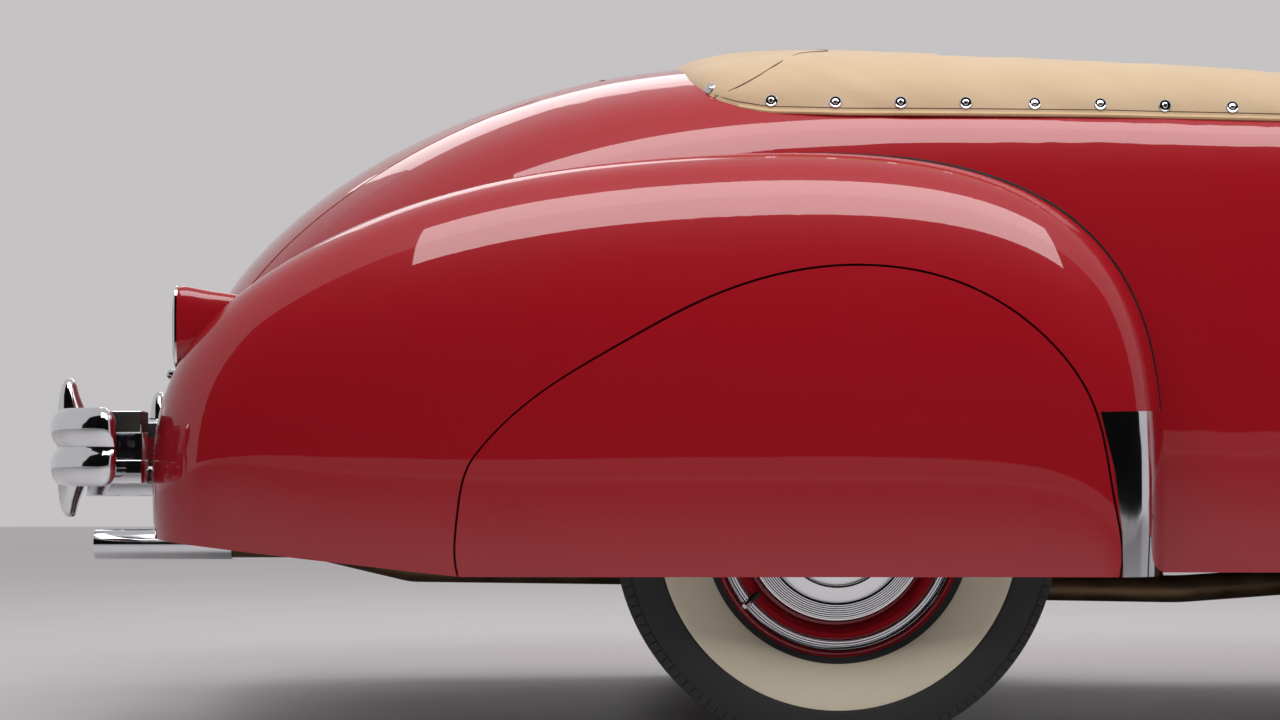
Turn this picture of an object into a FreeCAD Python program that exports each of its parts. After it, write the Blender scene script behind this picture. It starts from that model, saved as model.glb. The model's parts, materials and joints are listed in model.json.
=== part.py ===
"""Classic two-door convertible of the 1940s with pontoon fenders, skirted rear wheels and the top folded under its boot.

Frame: +X forward, +Y to the car's left, +Z up, in millimetres. The origin is on the ground, midway between the bumper
guards. Stations along the car are given as s, the distance ahead of the rear axle.
Free-form skins are uniform bicubic B-splines, each drawn as a cage of control points. Every cage ends in the plane
z = CAGE_FLOOR, so that a skin and one flat face close it to a solid, and walls are the difference of two such solids.
"""
import FreeCAD
import Part
import math
import os

V = FreeCAD.Vector

# ---- overall sizes -------------------------------------------------------------------------------------------------
WHEELBASE = 3226.0
REAR_OVERHANG = 1398.0      # rear axle to the rear guards' outer faces
FRONT_OVERHANG = 850.0      # front axle to the front guards' outer faces
TRACK = 1550.0
BODY_BOTTOM = 305.0         # lower edge of the body, the fenders and the skirts
CAGE_FLOOR = 150.0          # plane in which all the skins' cages end, below every trimmed edge

# ---- walls and gaps ------------------------------------------------------------------------------------------------
PANEL = 14.0                # fenders, hood, trunk lid and other single panels with their inner frames
WALL = 65.0                 # whole thickness of a door or of the cabin's side
DOOR_GAP = 6.0
LID_GAP = 6.0
SEAT_GAP = 0.3              # clearance of trim that is seated on a curved panel
TRIM_GAP = 0.5              # clearance between the floor or dashboard and the curved walls they meet
PIN_RADIUS = 5.0            # knuckles of the hood's and the trunk lid's hinges
DOOR_PIN_RADIUS = 9.0
PIN_CLEARANCE = 0.3         # end play between a hinge's knuckles

# ---- wheels --------------------------------------------------------------------------------------------------------
TYRE_RADIUS = 380.0
TYRE_WIDTH = 184.0
RIM_RADIUS = 222.0          # over the rim's flanges
BEAD_RADIUS = 203.0
RIM_WIDTH = 132.0
DRUM_RADIUS = 150.0
HUB_CAP_RADIUS = 157.0
KINGPIN_Y = 655.0
ARCH_RADIUS = 432.0         # front fender's cut-out round the wheel
LINER_RADIUS = 470.0        # inside of the wheelhouse

# ---- stations (distance ahead of the rear axle) --------------------------------------------------------------------
DOOR_REAR = 1020.0
DOOR_FRONT = 1955.0
DOOR_BOTTOM = 385.0
HOOD_REAR = 2145.0
HOOD_FRONT_LOW = 3600.0
HOOD_FRONT_TOP = 3800.0
HOOD_EDGE_REAR_Z = 905.0
HOOD_EDGE_FRONT_Z = 862.0
FIREWALL = 2105.0
COCKPIT_REAR = 150.0
COCKPIT_FRONT = 1890.0
COCKPIT_HALF_WIDTH = 684.0
REAR_FLOOR_FRONT = 300.0

# ---- heights -------------------------------------------------------------------------------------------------------
FLOOR_Z = 430.0             # underside of the cabin floor, on top of the frame
FLOOR_THICK = 18.0
REAR_FLOOR_Z = 640.0        # underside of the floor over the rear axle
RAIL_HEIGHT = 112.0
RAIL_WIDTH = 64.0
RAIL_Y = 396.0
SPRING_Y = 560.0
BUMPER_Z = 522.0
BUMPER_HEIGHT = 133.0
GUARD_HEIGHT = 253.0

REAR_AXLE_X = REAR_OVERHANG - (REAR_OVERHANG + WHEELBASE + FRONT_OVERHANG) / 2.0
FRONT_AXLE_S = WHEELBASE
WHEEL_Y = TRACK / 2.0
SIDES = (("left", 1.0), ("right", -1.0))


def at(s, y, z):
    """A point from its station ahead of the rear axle, its distance left of the centre line and its height."""
    return V(REAR_AXLE_X + s, y, z)


# ---- skins from cages ----------------------------------------------------------------------------------------------

def clamped(points):
    """Control points of a clamped uniform cubic whose curve is the cage's own limit curve."""
    start = (points[0] * 2.0 + points[1]) * (1.0 / 3.0)
    end = (points[-1] * 2.0 + points[-2]) * (1.0 / 3.0)
    return [points[0], start] + list(points[1:-1]) + [end, points[-1]]


def skin(cage):
    """The bicubic B-spline face of a cage, given as rows of points."""
    rows = [clamped(row) for row in cage]
    columns = [clamped([row[j] for row in rows]) for j in range(len(rows[0]))]
    poles = [[column[i] for column in columns] for i in range(len(columns[0]))]

    def knots(count):
        spans = count - 3
        return [4] + [1] * (spans - 1) + [4], [float(k) for k in range(spans + 1)]
    u_mults, u_knots = knots(len(poles))
    v_mults, v_knots = knots(len(poles[0]))
    surface = Part.BSplineSurface()
    surface.buildFromPolesMultsKnots(poles, u_mults, v_mults, u_knots, v_knots, False, False, 3, 3)
    return surface.toShape()


def dome(cage):
    """The solid between a cage's skin and the plane that all the cage's edges lie in."""
    top = skin(cage)
    base = Part.Face(Part.Wire(Part.__sortEdges__(top.Edges)))
    shell = Part.makeShell([top, base])
    shell.sewShape()
    solid = Part.makeSolid(shell)
    if solid.Volume < 0:
        solid.reverse()
    return solid


def mirrored(shape):
    """The shape on the car's other side."""
    return shape.mirror(V(0, 0, 0), V(0, 1, 0))


def on_side(shape, side):
    """A shape that is drawn on the left, on the side asked for."""
    return shape if side > 0 else mirrored(shape)


def box(s0, s1, y0, y1, z0, z1):
    """A block between two stations."""
    return Part.makeBox(s1 - s0, y1 - y0, z1 - z0, at(s0, y0, z0))


def prism(points, direction, closed_curve=False):
    """A flat outline of points pushed along a direction. Its points are joined by lines or by one closed curve."""
    if closed_curve:
        curve = Part.BSplineCurve()
        curve.interpolate(Points=points, PeriodicFlag=True)
        wire = Part.Wire([curve.toShape()])
    else:
        wire = Part.makePolygon(points + [points[0]])
    return Part.Face(wire).extrude(direction)


def side_prism(outline, y0, y1):
    """A block with a side-view outline of (s, z) corners."""
    return prism([at(s, y0, z) for s, z in outline], V(0, y1 - y0, 0))


def plan_prism(outline, z0, z1):
    """A block with a plan outline of (s, y) corners."""
    return prism([at(s, y, z0) for s, y in outline], V(0, 0, z1 - z0))


def cylinder(centre, axis, radius, length):
    """A cylinder that starts at centre and runs along axis."""
    return Part.makeCylinder(radius, length, centre, axis)


def rod(start, end, radius):
    """A round bar from one point to another."""
    return Part.makeCylinder(radius, (end - start).Length, start, end - start)


def largest(shape):
    """The biggest solid of a shape, without the slivers that a cut may leave."""
    return max(shape.Solids, key=lambda solid: solid.Volume)


def biggest(shape, count):
    """The count biggest solids of a shape, as one compound."""
    ordered = sorted(shape.Solids, key=lambda solid: -solid.Volume)
    return Part.makeCompound(ordered[:count])


def smooth_path(points):
    """A wire of one curve through the points."""
    curve = Part.BSplineCurve()
    curve.interpolate(Points=points)
    return Part.Wire([curve.toShape()])


def swept(path, profile):
    """A closed profile, drawn at the path's start, carried along the path."""
    return path.makePipeShell([profile], True, True)


# ---- the body's hull -----------------------------------------------------------------------------------------------
# Shares of a half section from its lower outer edge to the centre line: how far a point has moved from the row's edge
# station to its crown station.
HULL_FAN = (0.0, 0.18, 0.36, 0.55, 0.75, 0.90, 0.98, 1.0)
# Each row: crown station, crown height, edge station, half width, belt height as a share of the crown's, belt width as
# a share of the half width, and which way a thinner copy of the row moves along the car.
HULL_ROWS = (
    (-1190.0, 150.0, -900.0, 600.0, 0.80, 0.90, 1.0),
    (-1216.0, 400.0, -880.0, 625.0, 0.80, 0.90, 1.0),
    (-1212.0, 610.0, -850.0, 645.0, 0.80, 0.90, 1.0),
    (-1165.0, 795.0, -800.0, 665.0, 0.80, 0.90, 0.8),
    (-1050.0, 935.0, -740.0, 690.0, 0.81, 0.91, 0.5),
    (-880.0, 1068.0, -650.0, 715.0, 0.82, 0.92, 0.3),
    (-640.0, 1182.0, -520.0, 740.0, 0.83, 0.93, 0.1),
    (-380.0, 1254.0, -330.0, 758.0, 0.84, 0.94, 0.0),
    (-80.0, 1272.0, -80.0, 770.0, 0.86, 0.95, 0.0),
    (300.0, 1240.0, 300.0, 779.0, 0.885, 0.965, 0.0),
    (900.0, 1195.0, 900.0, 785.0, 0.905, 0.975, 0.0),
    (1500.0, 1172.0, 1500.0, 781.0, 0.905, 0.975, 0.0),
    (2000.0, 1172.0, 2000.0, 742.0, 0.88, 0.96, 0.0),
    (2350.0, 1160.0, 2350.0, 640.0, 0.85, 0.92, 0.0),
    (2800.0, 1142.0, 2800.0, 520.0, 0.82, 0.88, 0.0),
    (3250.0, 1110.0, 3250.0, 425.0, 0.81, 0.84, 0.0),
    (3560.0, 1066.0, 3520.0, 360.0, 0.80, 0.82, -0.2),
    (3740.0, 1000.0, 3620.0, 305.0, 0.80, 0.82, -0.6),
    (3835.0, 850.0, 3680.0, 262.0, 0.80, 0.82, -0.9),
    (3868.0, 620.0, 3715.0, 238.0, 0.80, 0.82, -1.0),
    (3868.0, 380.0, 3725.0, 226.0, 0.80, 0.82, -1.0),
    (3850.0, 150.0, 3725.0, 222.0, 0.80, 0.82, -1.0),
)


def hull_cage(inset):
    """The cage of the body without its fenders, moved inwards by inset."""
    cage = []
    for crown_s, crown_z, edge_s, width, belt, belt_width, lean in HULL_ROWS:
        rise = crown_z - inset - CAGE_FLOOR if crown_z > CAGE_FLOOR else 0.0
        half = width - inset
        crown_at = crown_s + lean * inset
        edge_at = edge_s + lean * inset
        belt_y = half * belt_width
        over = 1.0 - belt
        section = (
            (half - 30.0, 0.0),
            (half - 4.0, 0.33 * belt),
            (half, 0.62 * belt),
            (half - 0.3 * (half - belt_y), 0.87 * belt),
            (belt_y, belt),
            (0.80 * belt_y, belt + 0.62 * over),
            (0.42 * belt_y, belt + 0.96 * over),
            (0.0, 1.0),
        )
        left = [at(edge_at + (crown_at - edge_at) * fan, y, CAGE_FLOOR + rise * share)
                for (y, share), fan in zip(section, HULL_FAN)]
        right = [V(point.x, -point.y, point.z) for point in reversed(left[:-1])]
        cage.append(left + right)
    return cage


# ---- the fenders ---------------------------------------------------------------------------------------------------
# Each row: crown station, crown height, edge station, outer half width, crown's distance from the centre line, inner
# edge's distance, inner shoulder height as a share, and which way a thinner copy moves along the car.
FENDER_FAN = (0.0, 0.16, 0.36, 0.60, 0.86, 1.0, 0.92, 0.74, 0.40, 0.0)
REAR_FENDER_ROWS = (
    (-1165.0, 150.0, -990.0, 835.0, 700.0, 500.0, 0.80, 1.0),
    (-1196.0, 370.0, -975.0, 860.0, 704.0, 500.0, 0.80, 1.0),
    (-1200.0, 535.0, -955.0, 880.0, 708.0, 500.0, 0.80, 1.0),
    (-1168.0, 668.0, -920.0, 900.0, 712.0, 500.0, 0.80, 0.8),
    (-1085.0, 775.0, -860.0, 918.0, 718.0, 505.0, 0.80, 0.5),
    (-950.0, 872.0, -770.0, 934.0, 724.0, 515.0, 0.82, 0.3),
    (-765.0, 956.0, -650.0, 948.0, 732.0, 530.0, 0.86, 0.1),
    (-545.0, 1012.0, -495.0, 956.0, 742.0, 550.0, 0.90, 0.0),
    (-300.0, 1038.0, -290.0, 959.0, 754.0, 570.0, 0.94, 0.0),
    (-50.0, 1046.0, -50.0, 960.0, 764.0, 590.0, 0.96, 0.0),
    (175.0, 1030.0, 140.0, 960.0, 772.0, 590.0, 0.97, -0.1),
    (350.0, 975.0, 275.0, 958.0, 777.0, 590.0, 0.97, -0.4),
    (470.0, 880.0, 355.0, 957.0, 780.0, 590.0, 0.97, -0.7),
    (542.0, 750.0, 395.0, 956.0, 782.0, 590.0, 0.97, -0.9),
    (568.0, 590.0, 410.0, 954.0, 783.0, 590.0, 0.97, -1.0),
    (570.0, 400.0, 412.0, 952.0, 783.0, 590.0, 0.97, -1.0),
    (560.0, 150.0, 412.0, 948.0, 783.0, 590.0, 0.97, -1.0),
)
FRONT_FENDER_ROWS = (
    (2030.0, 150.0, 2200.0, 815.0, 740.0, 560.0, 0.95, 1.0),
    (2020.0, 400.0, 2210.0, 830.0, 740.0, 560.0, 0.95, 1.0),
    (2032.0, 560.0, 2230.0, 850.0, 740.0, 550.0, 0.95, 0.9),
    (2095.0, 690.0, 2275.0, 872.0, 738.0, 540.0, 0.94, 0.7),
    (2230.0, 790.0, 2360.0, 898.0, 734.0, 510.0, 0.92, 0.4),
    (2440.0, 872.0, 2510.0, 924.0, 727.0, 460.0, 0.89, 0.2),
    (2720.0, 940.0, 2740.0, 944.0, 716.0, 390.0, 0.85, 0.0),
    (3000.0, 982.0, 3000.0, 955.0, 704.0, 330.0, 0.82, 0.0),
    (3260.0, 994.0, 3250.0, 958.0, 692.0, 280.0, 0.80, 0.0),
    (3500.0, 974.0, 3460.0, 955.0, 680.0, 240.0, 0.78, -0.1),
    (3700.0, 916.0, 3600.0, 946.0, 668.0, 210.0, 0.76, -0.3),
    (3860.0, 820.0, 3680.0, 932.0, 656.0, 190.0, 0.74, -0.6),
    (3962.0, 690.0, 3720.0, 916.0, 648.0, 180.0, 0.74, -0.9),
    (3998.0, 530.0, 3730.0, 902.0, 642.0, 175.0, 0.76, -1.0),
    (3990.0, 360.0, 3730.0, 892.0, 640.0, 175.0, 0.80, -1.0),
    (3960.0, 150.0, 3720.0, 880.0, 638.0, 175.0, 0.85, -1.0),
)


def fender_cage(rows, inset):
    """The cage of a left fender, moved inwards by inset."""
    cage = []
    for crown_s, crown_z, edge_s, outer, crown_y, inner, shoulder, lean in rows:
        rise = crown_z - inset - CAGE_FLOOR if crown_z > CAGE_FLOOR else 0.0
        crown_at = crown_s + lean * inset
        edge_at = edge_s + lean * inset
        out_y = outer - inset
        in_y = inner + inset
        reach = out_y - crown_y
        section = (
            (out_y - 22.0, 0.0),
            (out_y - 4.0, 0.30),
            (out_y, 0.56),
            (out_y - 0.06 * reach, 0.79),
            (out_y - 0.34 * reach, 0.96),
            (crown_y, 1.0),
            (crown_y - 0.42 * (crown_y - in_y), shoulder),
            (crown_y - 0.80 * (crown_y - in_y), 0.82 * shoulder),
            (in_y, 0.45 * shoulder),
            (in_y, 0.0),
        )
        cage.append([at(edge_at + (crown_at - edge_at) * fan, y, CAGE_FLOOR + rise * share)
                     for (y, share), fan in zip(section, FENDER_FAN)])
    return cage


def below_body():
    """Everything under the body's lower edge, which rises at the tail and under the nose."""
    outline = ((-1500.0, 0.0), (4300.0, 0.0), (4300.0, 372.0), (3700.0, BODY_BOTTOM + 8.0), (3500.0, BODY_BOTTOM),
               (-640.0, BODY_BOTTOM), (-1180.0, 364.0), (-1500.0, 398.0))
    return side_prism(outline, -1200.0, 1200.0)


def flap_hinge(pin, turn, tilt):
    """Hinge of a lid: its own knuckle, the fixed lugs and the room for both.

    The hinge is drawn at the origin with the lid towards +X and the outside up, then turned and put at the pin.
    """
    half, reach = 15.0, 12.0
    outer = half + 20.0
    y_axis = V(0, 1, 0)

    def block(x0, x1, y0, y1, z0, z1):
        return Part.makeBox(x1 - x0, y1 - y0, z1 - z0, V(x0, y0, z0))
    knuckle = Part.makeCylinder(PIN_RADIUS, 2.0 * half, V(0, -half, 0), y_axis)
    knuckle = knuckle.fuse(block(0.0, reach, -half, half, -PIN_RADIUS, -1.0))
    lugs = []
    for low in (half + PIN_CLEARANCE, -outer):
        high = low + outer - half - PIN_CLEARANCE
        lug = Part.makeCylinder(PIN_RADIUS, high - low, V(0, low, 0), y_axis)
        lugs.append(lug.fuse(block(-reach, 0.0, low, high, -PIN_RADIUS, 0.0)))
    room = block(-PIN_RADIUS - 2.0, reach - 3.5, -outer - PIN_CLEARANCE, outer + PIN_CLEARANCE, -20.0, 40.0)
    placed = []
    for shape in (knuckle, Part.makeCompound(lugs), room):
        shape.rotate(V(0, 0, 0), V(0, 0, 1), turn)
        shape.rotate(V(0, 0, 0), y_axis, tilt)
        shape.translate(pin)
        placed.append(shape)
    return placed


HULL = dome(hull_cage(0.0))
HULL_PANEL = dome(hull_cage(PANEL))
HULL_WALL = dome(hull_cage(WALL))
HULL_ROOM = dome(hull_cage(WALL + TRIM_GAP))
HULL_PANEL_ROOM = dome(hull_cage(PANEL + TRIM_GAP))
HULL_SEATED = dome(hull_cage(-SEAT_GAP))
GROUND_BLOCK = below_body()
REAR_FENDER = dome(fender_cage(REAR_FENDER_ROWS, 0.0))
REAR_FENDER_INNER = dome(fender_cage(REAR_FENDER_ROWS, PANEL))
FRONT_FENDER = dome(fender_cage(FRONT_FENDER_ROWS, 0.0))
FRONT_FENDER_INNER = dome(fender_cage(FRONT_FENDER_ROWS, PANEL))


def skirt_outline(grow):
    """Side-view outline of the rear wheel's skirt, as (s, z) points of one closed curve, grown outwards."""
    outline = ((-610.0, 508.0), (-500.0, 612.0), (-371.0, 691.0), (-238.0, 762.0), (-105.0, 808.0), (45.0, 823.0),
               (195.0, 794.0), (328.0, 711.0), (411.0, 600.0), (449.0, 434.0), (457.0, 300.0), (300.0, 200.0),
               (-100.0, 180.0), (-500.0, 200.0), (-637.0, 300.0), (-640.0, 410.0))
    centre_s, centre_z = -60.0, 450.0
    points = []
    for s, z in outline:
        reach = math.hypot(s - centre_s, z - centre_z)
        points.append((s + (s - centre_s) * grow / reach, z + (z - centre_z) * grow / reach))
    return points


def skirt_block(grow, y0, y1):
    """The skirt's outline pushed through the fender's side."""
    points = [at(s, y0, z) for s, z in skirt_outline(grow)]
    return prism(points, V(0, y1 - y0, 0), closed_curve=True)


def rear_fender(side):
    """Rear pontoon fender: one hollow panel that ends on the body side, with the skirt's opening cut."""
    shell = REAR_FENDER.cut(REAR_FENDER_INNER).cut(HULL_SEATED).cut(GROUND_BLOCK)
    shell = shell.cut(skirt_block(4.0, 840.0, 1000.0))
    return on_side(largest(shell), side)


def fender_skirt(side):
    """Removable skirt that closes the rear wheel's opening, with a lip that seats behind the fender's edge."""
    lip_depth = PANEL + 8.0
    seat = dome(fender_cage(REAR_FENDER_ROWS, PANEL + SEAT_GAP))
    behind = dome(fender_cage(REAR_FENDER_ROWS, lip_depth))
    leaf = REAR_FENDER.cut(behind).common(skirt_block(0.0, 840.0, 1000.0))
    lip = seat.cut(behind).common(skirt_block(16.0, 840.0, 1000.0))
    return on_side(largest(leaf.fuse(lip).cut(GROUND_BLOCK)), side)


def stone_guard(side):
    """Bright guard on the rear fender's leading edge, a thin shell seated on the fender."""
    outer = dome(fender_cage(REAR_FENDER_ROWS, -2.3))
    seat = dome(fender_cage(REAR_FENDER_ROWS, -SEAT_GAP))
    outline = ((428.0, 580.0), (700.0, 586.0), (700.0, 296.0), (466.0, 296.0), (464.0, 380.0), (452.0, 480.0))
    shell = outer.cut(seat).common(side_prism(outline, 700.0, 1000.0)).cut(HULL_SEATED).cut(GROUND_BLOCK)
    return on_side(largest(shell), side)


def front_fender(side):
    """Front pontoon fender with its wheel arch and the headlamp's hole."""
    shell = FRONT_FENDER.cut(FRONT_FENDER_INNER).cut(HULL_SEATED).cut(GROUND_BLOCK)
    arch = cylinder(at(FRONT_AXLE_S, 800.0, TYRE_RADIUS), V(0, 1, 0), ARCH_RADIUS, 300.0)
    lamp = cylinder(at(3700.0, HEADLAMP_Y, HEADLAMP_Z), V(1, 0, 0), HEADLAMP_RADIUS + 1.0, 400.0)
    inner_end = box(3400.0, 4100.0, 0.0, 215.0, 0.0, 1200.0)
    return on_side(largest(shell.cut([arch, lamp, inner_end, front_arm(1.0, 2.0)])), side)


# ---- body panels ---------------------------------------------------------------------------------------------------

SCUTTLE_HALF = 640.0


def door_block(clearance):
    """The space of the left door in the body's side, smaller by the clearance all round."""
    return box(DOOR_REAR + clearance, DOOR_FRONT - clearance, SCUTTLE_HALF + clearance, 1100.0,
               DOOR_BOTTOM + clearance, 1300.0)


def cockpit():
    """The open space over the seats, cut down through the body's crown."""
    corner = 90.0
    half = COCKPIT_HALF_WIDTH
    narrow = half - 42.0
    outline = ((COCKPIT_REAR, -half + corner), (COCKPIT_REAR + corner, -half), (1500.0, -half),
               (COCKPIT_FRONT - corner, -narrow), (COCKPIT_FRONT, -narrow + corner),
               (COCKPIT_FRONT, narrow - corner), (COCKPIT_FRONT - corner, narrow), (1500.0, half),
               (COCKPIT_REAR + corner, half), (COCKPIT_REAR, half - corner))
    return plan_prism(outline, 900.0, 1500.0)


def wheelhouse_room(axle_s, inner_y):
    """The cylinder that a wheel needs inside the body, on the left."""
    centre = at(axle_s, inner_y, TYRE_RADIUS)
    return cylinder(centre, V(0, 1, 0), LINER_RADIUS + PANEL, 1000.0 - inner_y)


REAR_LINER_Y = 615.0
FRONT_LINER_Y = 452.0
ROOMS = [on_side(wheelhouse_room(axle, inner - PANEL), side)
         for axle, inner in ((0.0, REAR_LINER_Y), (FRONT_AXLE_S, FRONT_LINER_Y)) for _, side in SIDES]
COCKPIT = cockpit()
THIN_HULL = HULL.cut(HULL_PANEL).cut(GROUND_BLOCK)
THICK_HULL = HULL.cut(HULL_WALL).cut(GROUND_BLOCK).cut(COCKPIT)


def trunk_block(clearance):
    """The trunk lid's outline, pushed square to the sloping deck, smaller by the clearance all round."""
    hinge = at(TRUNK_HINGE_S, 0, TRUNK_HINGE_Z)
    down = V(-1.0, 0, -1.0).normalize()
    out = V(-1.0, 0, 1.0).normalize()
    corners = ((clearance, 400.0), (120.0, 455.0), (500.0, 500.0), (850.0, 500.0), (1010.0, 470.0),
               (TRUNK_LID_LENGTH - clearance, 390.0))
    side = [(u, w - clearance) for u, w in corners]
    outline = [hinge + down * u + V(0, w, 0) for u, w in side]
    outline += [hinge + down * u - V(0, w, 0) for u, w in reversed(side)]
    start = out * -450.0
    return prism([point + start for point in outline], out * 1100.0)


TRUNK_HINGE_S = -420.0
TRUNK_HINGE_Z = 1236.0
TRUNK_LID_LENGTH = 1052.0
TRUNK_PIN = at(TRUNK_HINGE_S + 4.9, 0, TRUNK_HINGE_Z - 0.7)
TRUNK_KNUCKLE, TRUNK_LUGS, TRUNK_ROOM = flap_hinge(TRUNK_PIN, 180.0, -45.0)


def trunk_lid():
    """Curved lid over the trunk, hinged at its upper edge."""
    lid = THIN_HULL.common(trunk_block(LID_GAP)).cut(TRUNK_ROOM)
    return largest(lid.fuse(TRUNK_KNUCKLE))


def hood_block(clearance):
    """Side-view block of the hood: its rear edge, its lower edges and the front edge that leans forward."""
    lean = (HOOD_FRONT_TOP - HOOD_FRONT_LOW) / 240.0
    outline = ((HOOD_REAR + clearance, 1400.0), (HOOD_REAR + clearance, HOOD_EDGE_REAR_Z + clearance),
               (HOOD_FRONT_LOW - clearance, HOOD_EDGE_FRONT_Z + clearance),
               (HOOD_FRONT_LOW - clearance + lean * 538.0, 1400.0))
    return side_prism(outline, -1000.0, 1000.0)


HOOD_PIN = at(HOOD_REAR - 3.0, 0, 1159.5)
HOOD_KNUCKLE, HOOD_LUGS, HOOD_ROOM = flap_hinge(HOOD_PIN, 0.0, 0.0)


def hood():
    """Alligator hood, hinged at the cowl."""
    lid = THIN_HULL.common(hood_block(LID_GAP)).cut(HOOD_ROOM)
    return largest(lid.fuse(HOOD_KNUCKLE))


def cowl():
    """Scuttle between the doors and the hood, with the firewall and the door's front pillars."""
    ring = THICK_HULL.common(box(DOOR_FRONT, HOOD_REAR, -1000.0, 1000.0, 0.0, 1500.0))
    wall = HULL_WALL.common(box(FIREWALL, FIREWALL + PANEL, -1000.0, 1000.0, FLOOR_Z + FLOOR_THICK, 1500.0))
    tunnel_end = box(FIREWALL - 1.0, FIREWALL + PANEL + 1.0, -TUNNEL_HALF, TUNNEL_HALF, FLOOR_Z, TUNNEL_TOP)
    scuttle = THICK_HULL.common(box(COCKPIT_FRONT - 60.0, DOOR_FRONT, -1000.0, 1000.0, 1000.0, 1500.0))
    scuttle = scuttle.common(box(COCKPIT_FRONT - 60.0, DOOR_FRONT, -SCUTTLE_HALF, SCUTTLE_HALF, 1000.0, 1500.0))
    body = ring.fuse([wall.cut(tunnel_end), scuttle]).cut(sill_block()).cut(HOOD_ROOM)
    hinges = [on_side(door_hinge(False), side) for _, side in SIDES]
    return largest(pillar_cut(body).fuse([HOOD_LUGS] + hinges))


def sill_block():
    """The two strips under the doors and the scuttle that belong to the sills."""
    return box(SILL_REAR, SILL_FRONT, -1000.0, 1000.0, 0.0, DOOR_BOTTOM)


SILL_REAR = DOOR_REAR
SILL_FRONT = HOOD_REAR
TUNNEL_HALF = 120.0
TUNNEL_TOP = 600.0


def front_panel():
    """Nose, hood sides and lower apron of the front end, cut for the wheels and the grille."""
    region = box(HOOD_REAR, 4100.0, -1000.0, 1000.0, 0.0, 1500.0)
    shell = THIN_HULL.common(region).cut(hood_block(0.0)).cut(grille_block(0.0))
    for room in ROOMS:
        shell = shell.cut(room)
    chassis = box(2200.0, 3690.0, -1000.0, 1000.0, 0.0, 480.0)
    towers = box(FRONT_AXLE_S - 126.0, FRONT_AXLE_S + 126.0, -1000.0, 1000.0, 0.0, TOWER_TOP + 12.0)
    return largest(shell.cut(chassis).cut(towers))


TOWER_TOP = 640.0


def grille_block(grow):
    """Front-view outline of the grille pushed back through the nose."""
    half = ((0.0, 402.0 - grow), (86.0 + grow, 404.0 - grow), (112.0 + grow, 470.0), (138.0 + grow, 700.0),
            (142.0 + grow, 850.0), (112.0 + grow, 918.0 + grow), (0.0, 930.0 + grow))
    points = [at(3500.0, y, z) for y, z in half] + [at(3500.0, -y, z) for y, z in reversed(half[1:-1])]
    return prism(points, V(600.0, 0, 0))


def grille():
    """Upright grille: a bright frame and vertical bars that follow the nose."""
    proud = dome(hull_cage(-4.0)).cut(dome(hull_cage(22.0)))
    opening = proud.common(grille_block(-0.5))
    frame = opening.cut(grille_block(-15.0))
    pitch, bar = 20.0, 7.0
    count = 6
    bars = [opening.common(box(3500.0, 4100.0, k * pitch - bar / 2.0, k * pitch + bar / 2.0, 300.0, 1000.0))
            for k in range(-count, count + 1)]
    return largest(frame.fuse(bars))


def quarter_panel(side):
    """Rear body side from the door to the tail, with its share of the deck, cut for the wheel."""
    side_wall = THICK_HULL.common(box(REAR_FLOOR_FRONT, DOOR_REAR, 0.0, 1000.0, 0.0, 1500.0))
    tail = THIN_HULL.common(box(-1400.0, REAR_FLOOR_FRONT, 0.0, 1000.0, 0.0, 1500.0))
    shell = tail.cut(COCKPIT).fuse(side_wall).cut(trunk_block(0.0)).cut(sill_block())
    room = wheelhouse_room(0.0, REAR_LINER_Y - PANEL)
    half = shell.cut(room).common(box(-1400.0, DOOR_REAR, DECK_HALF, 1000.0, 0.0, 1500.0))
    return on_side(largest(half), side)


DECK_HALF = 560.0


def rear_deck():
    """Deck in front of and round the trunk lid, and the tail panel under it."""
    shell = THIN_HULL.common(box(-1400.0, REAR_FLOOR_FRONT, -DECK_HALF, DECK_HALF, 0.0, 1500.0))
    tip_room = box(-1500.0, -1000.0, -DECK_HALF, DECK_HALF, 0.0, TAIL_NOTCH_Z)
    shell = shell.cut(COCKPIT).cut(trunk_block(0.0)).cut(TRUNK_ROOM).cut(tip_room)
    for sign in (1.0, -1.0):
        shell = shell.cut(bumper_arm(sign, 1.0))
    return largest(shell.fuse(TRUNK_LUGS))


TAIL_NOTCH_Z = 386.0


def door(side):
    """Front-hinged door: the whole thickness of the body's side, with the slot for its lowered window."""
    block = door_block(DOOR_GAP)
    leaf = THICK_HULL.common(block).cut(box(DOOR_REAR + 60.0, DOOR_FRONT - 90.0, 0.0, COCKPIT_HALF_WIDTH + 2.0,
                                            1060.0, 1500.0))
    leaf = largest(leaf)
    slot_y = leaf.BoundBox.YMax - 0.52 * WALL
    slot = box(DOOR_REAR + 70.0, DOOR_FRONT - 90.0, slot_y, slot_y + 14.0, 1020.0, 1300.0)
    leaf = leaf.cut(slot).fuse(door_hinge(True))
    return on_side(largest(leaf), side)


DOOR_PIN_S = DOOR_FRONT + 2.0
DOOR_PIN_Y = 754.0
DOOR_HINGE_Z = (520.0, 860.0)


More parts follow.
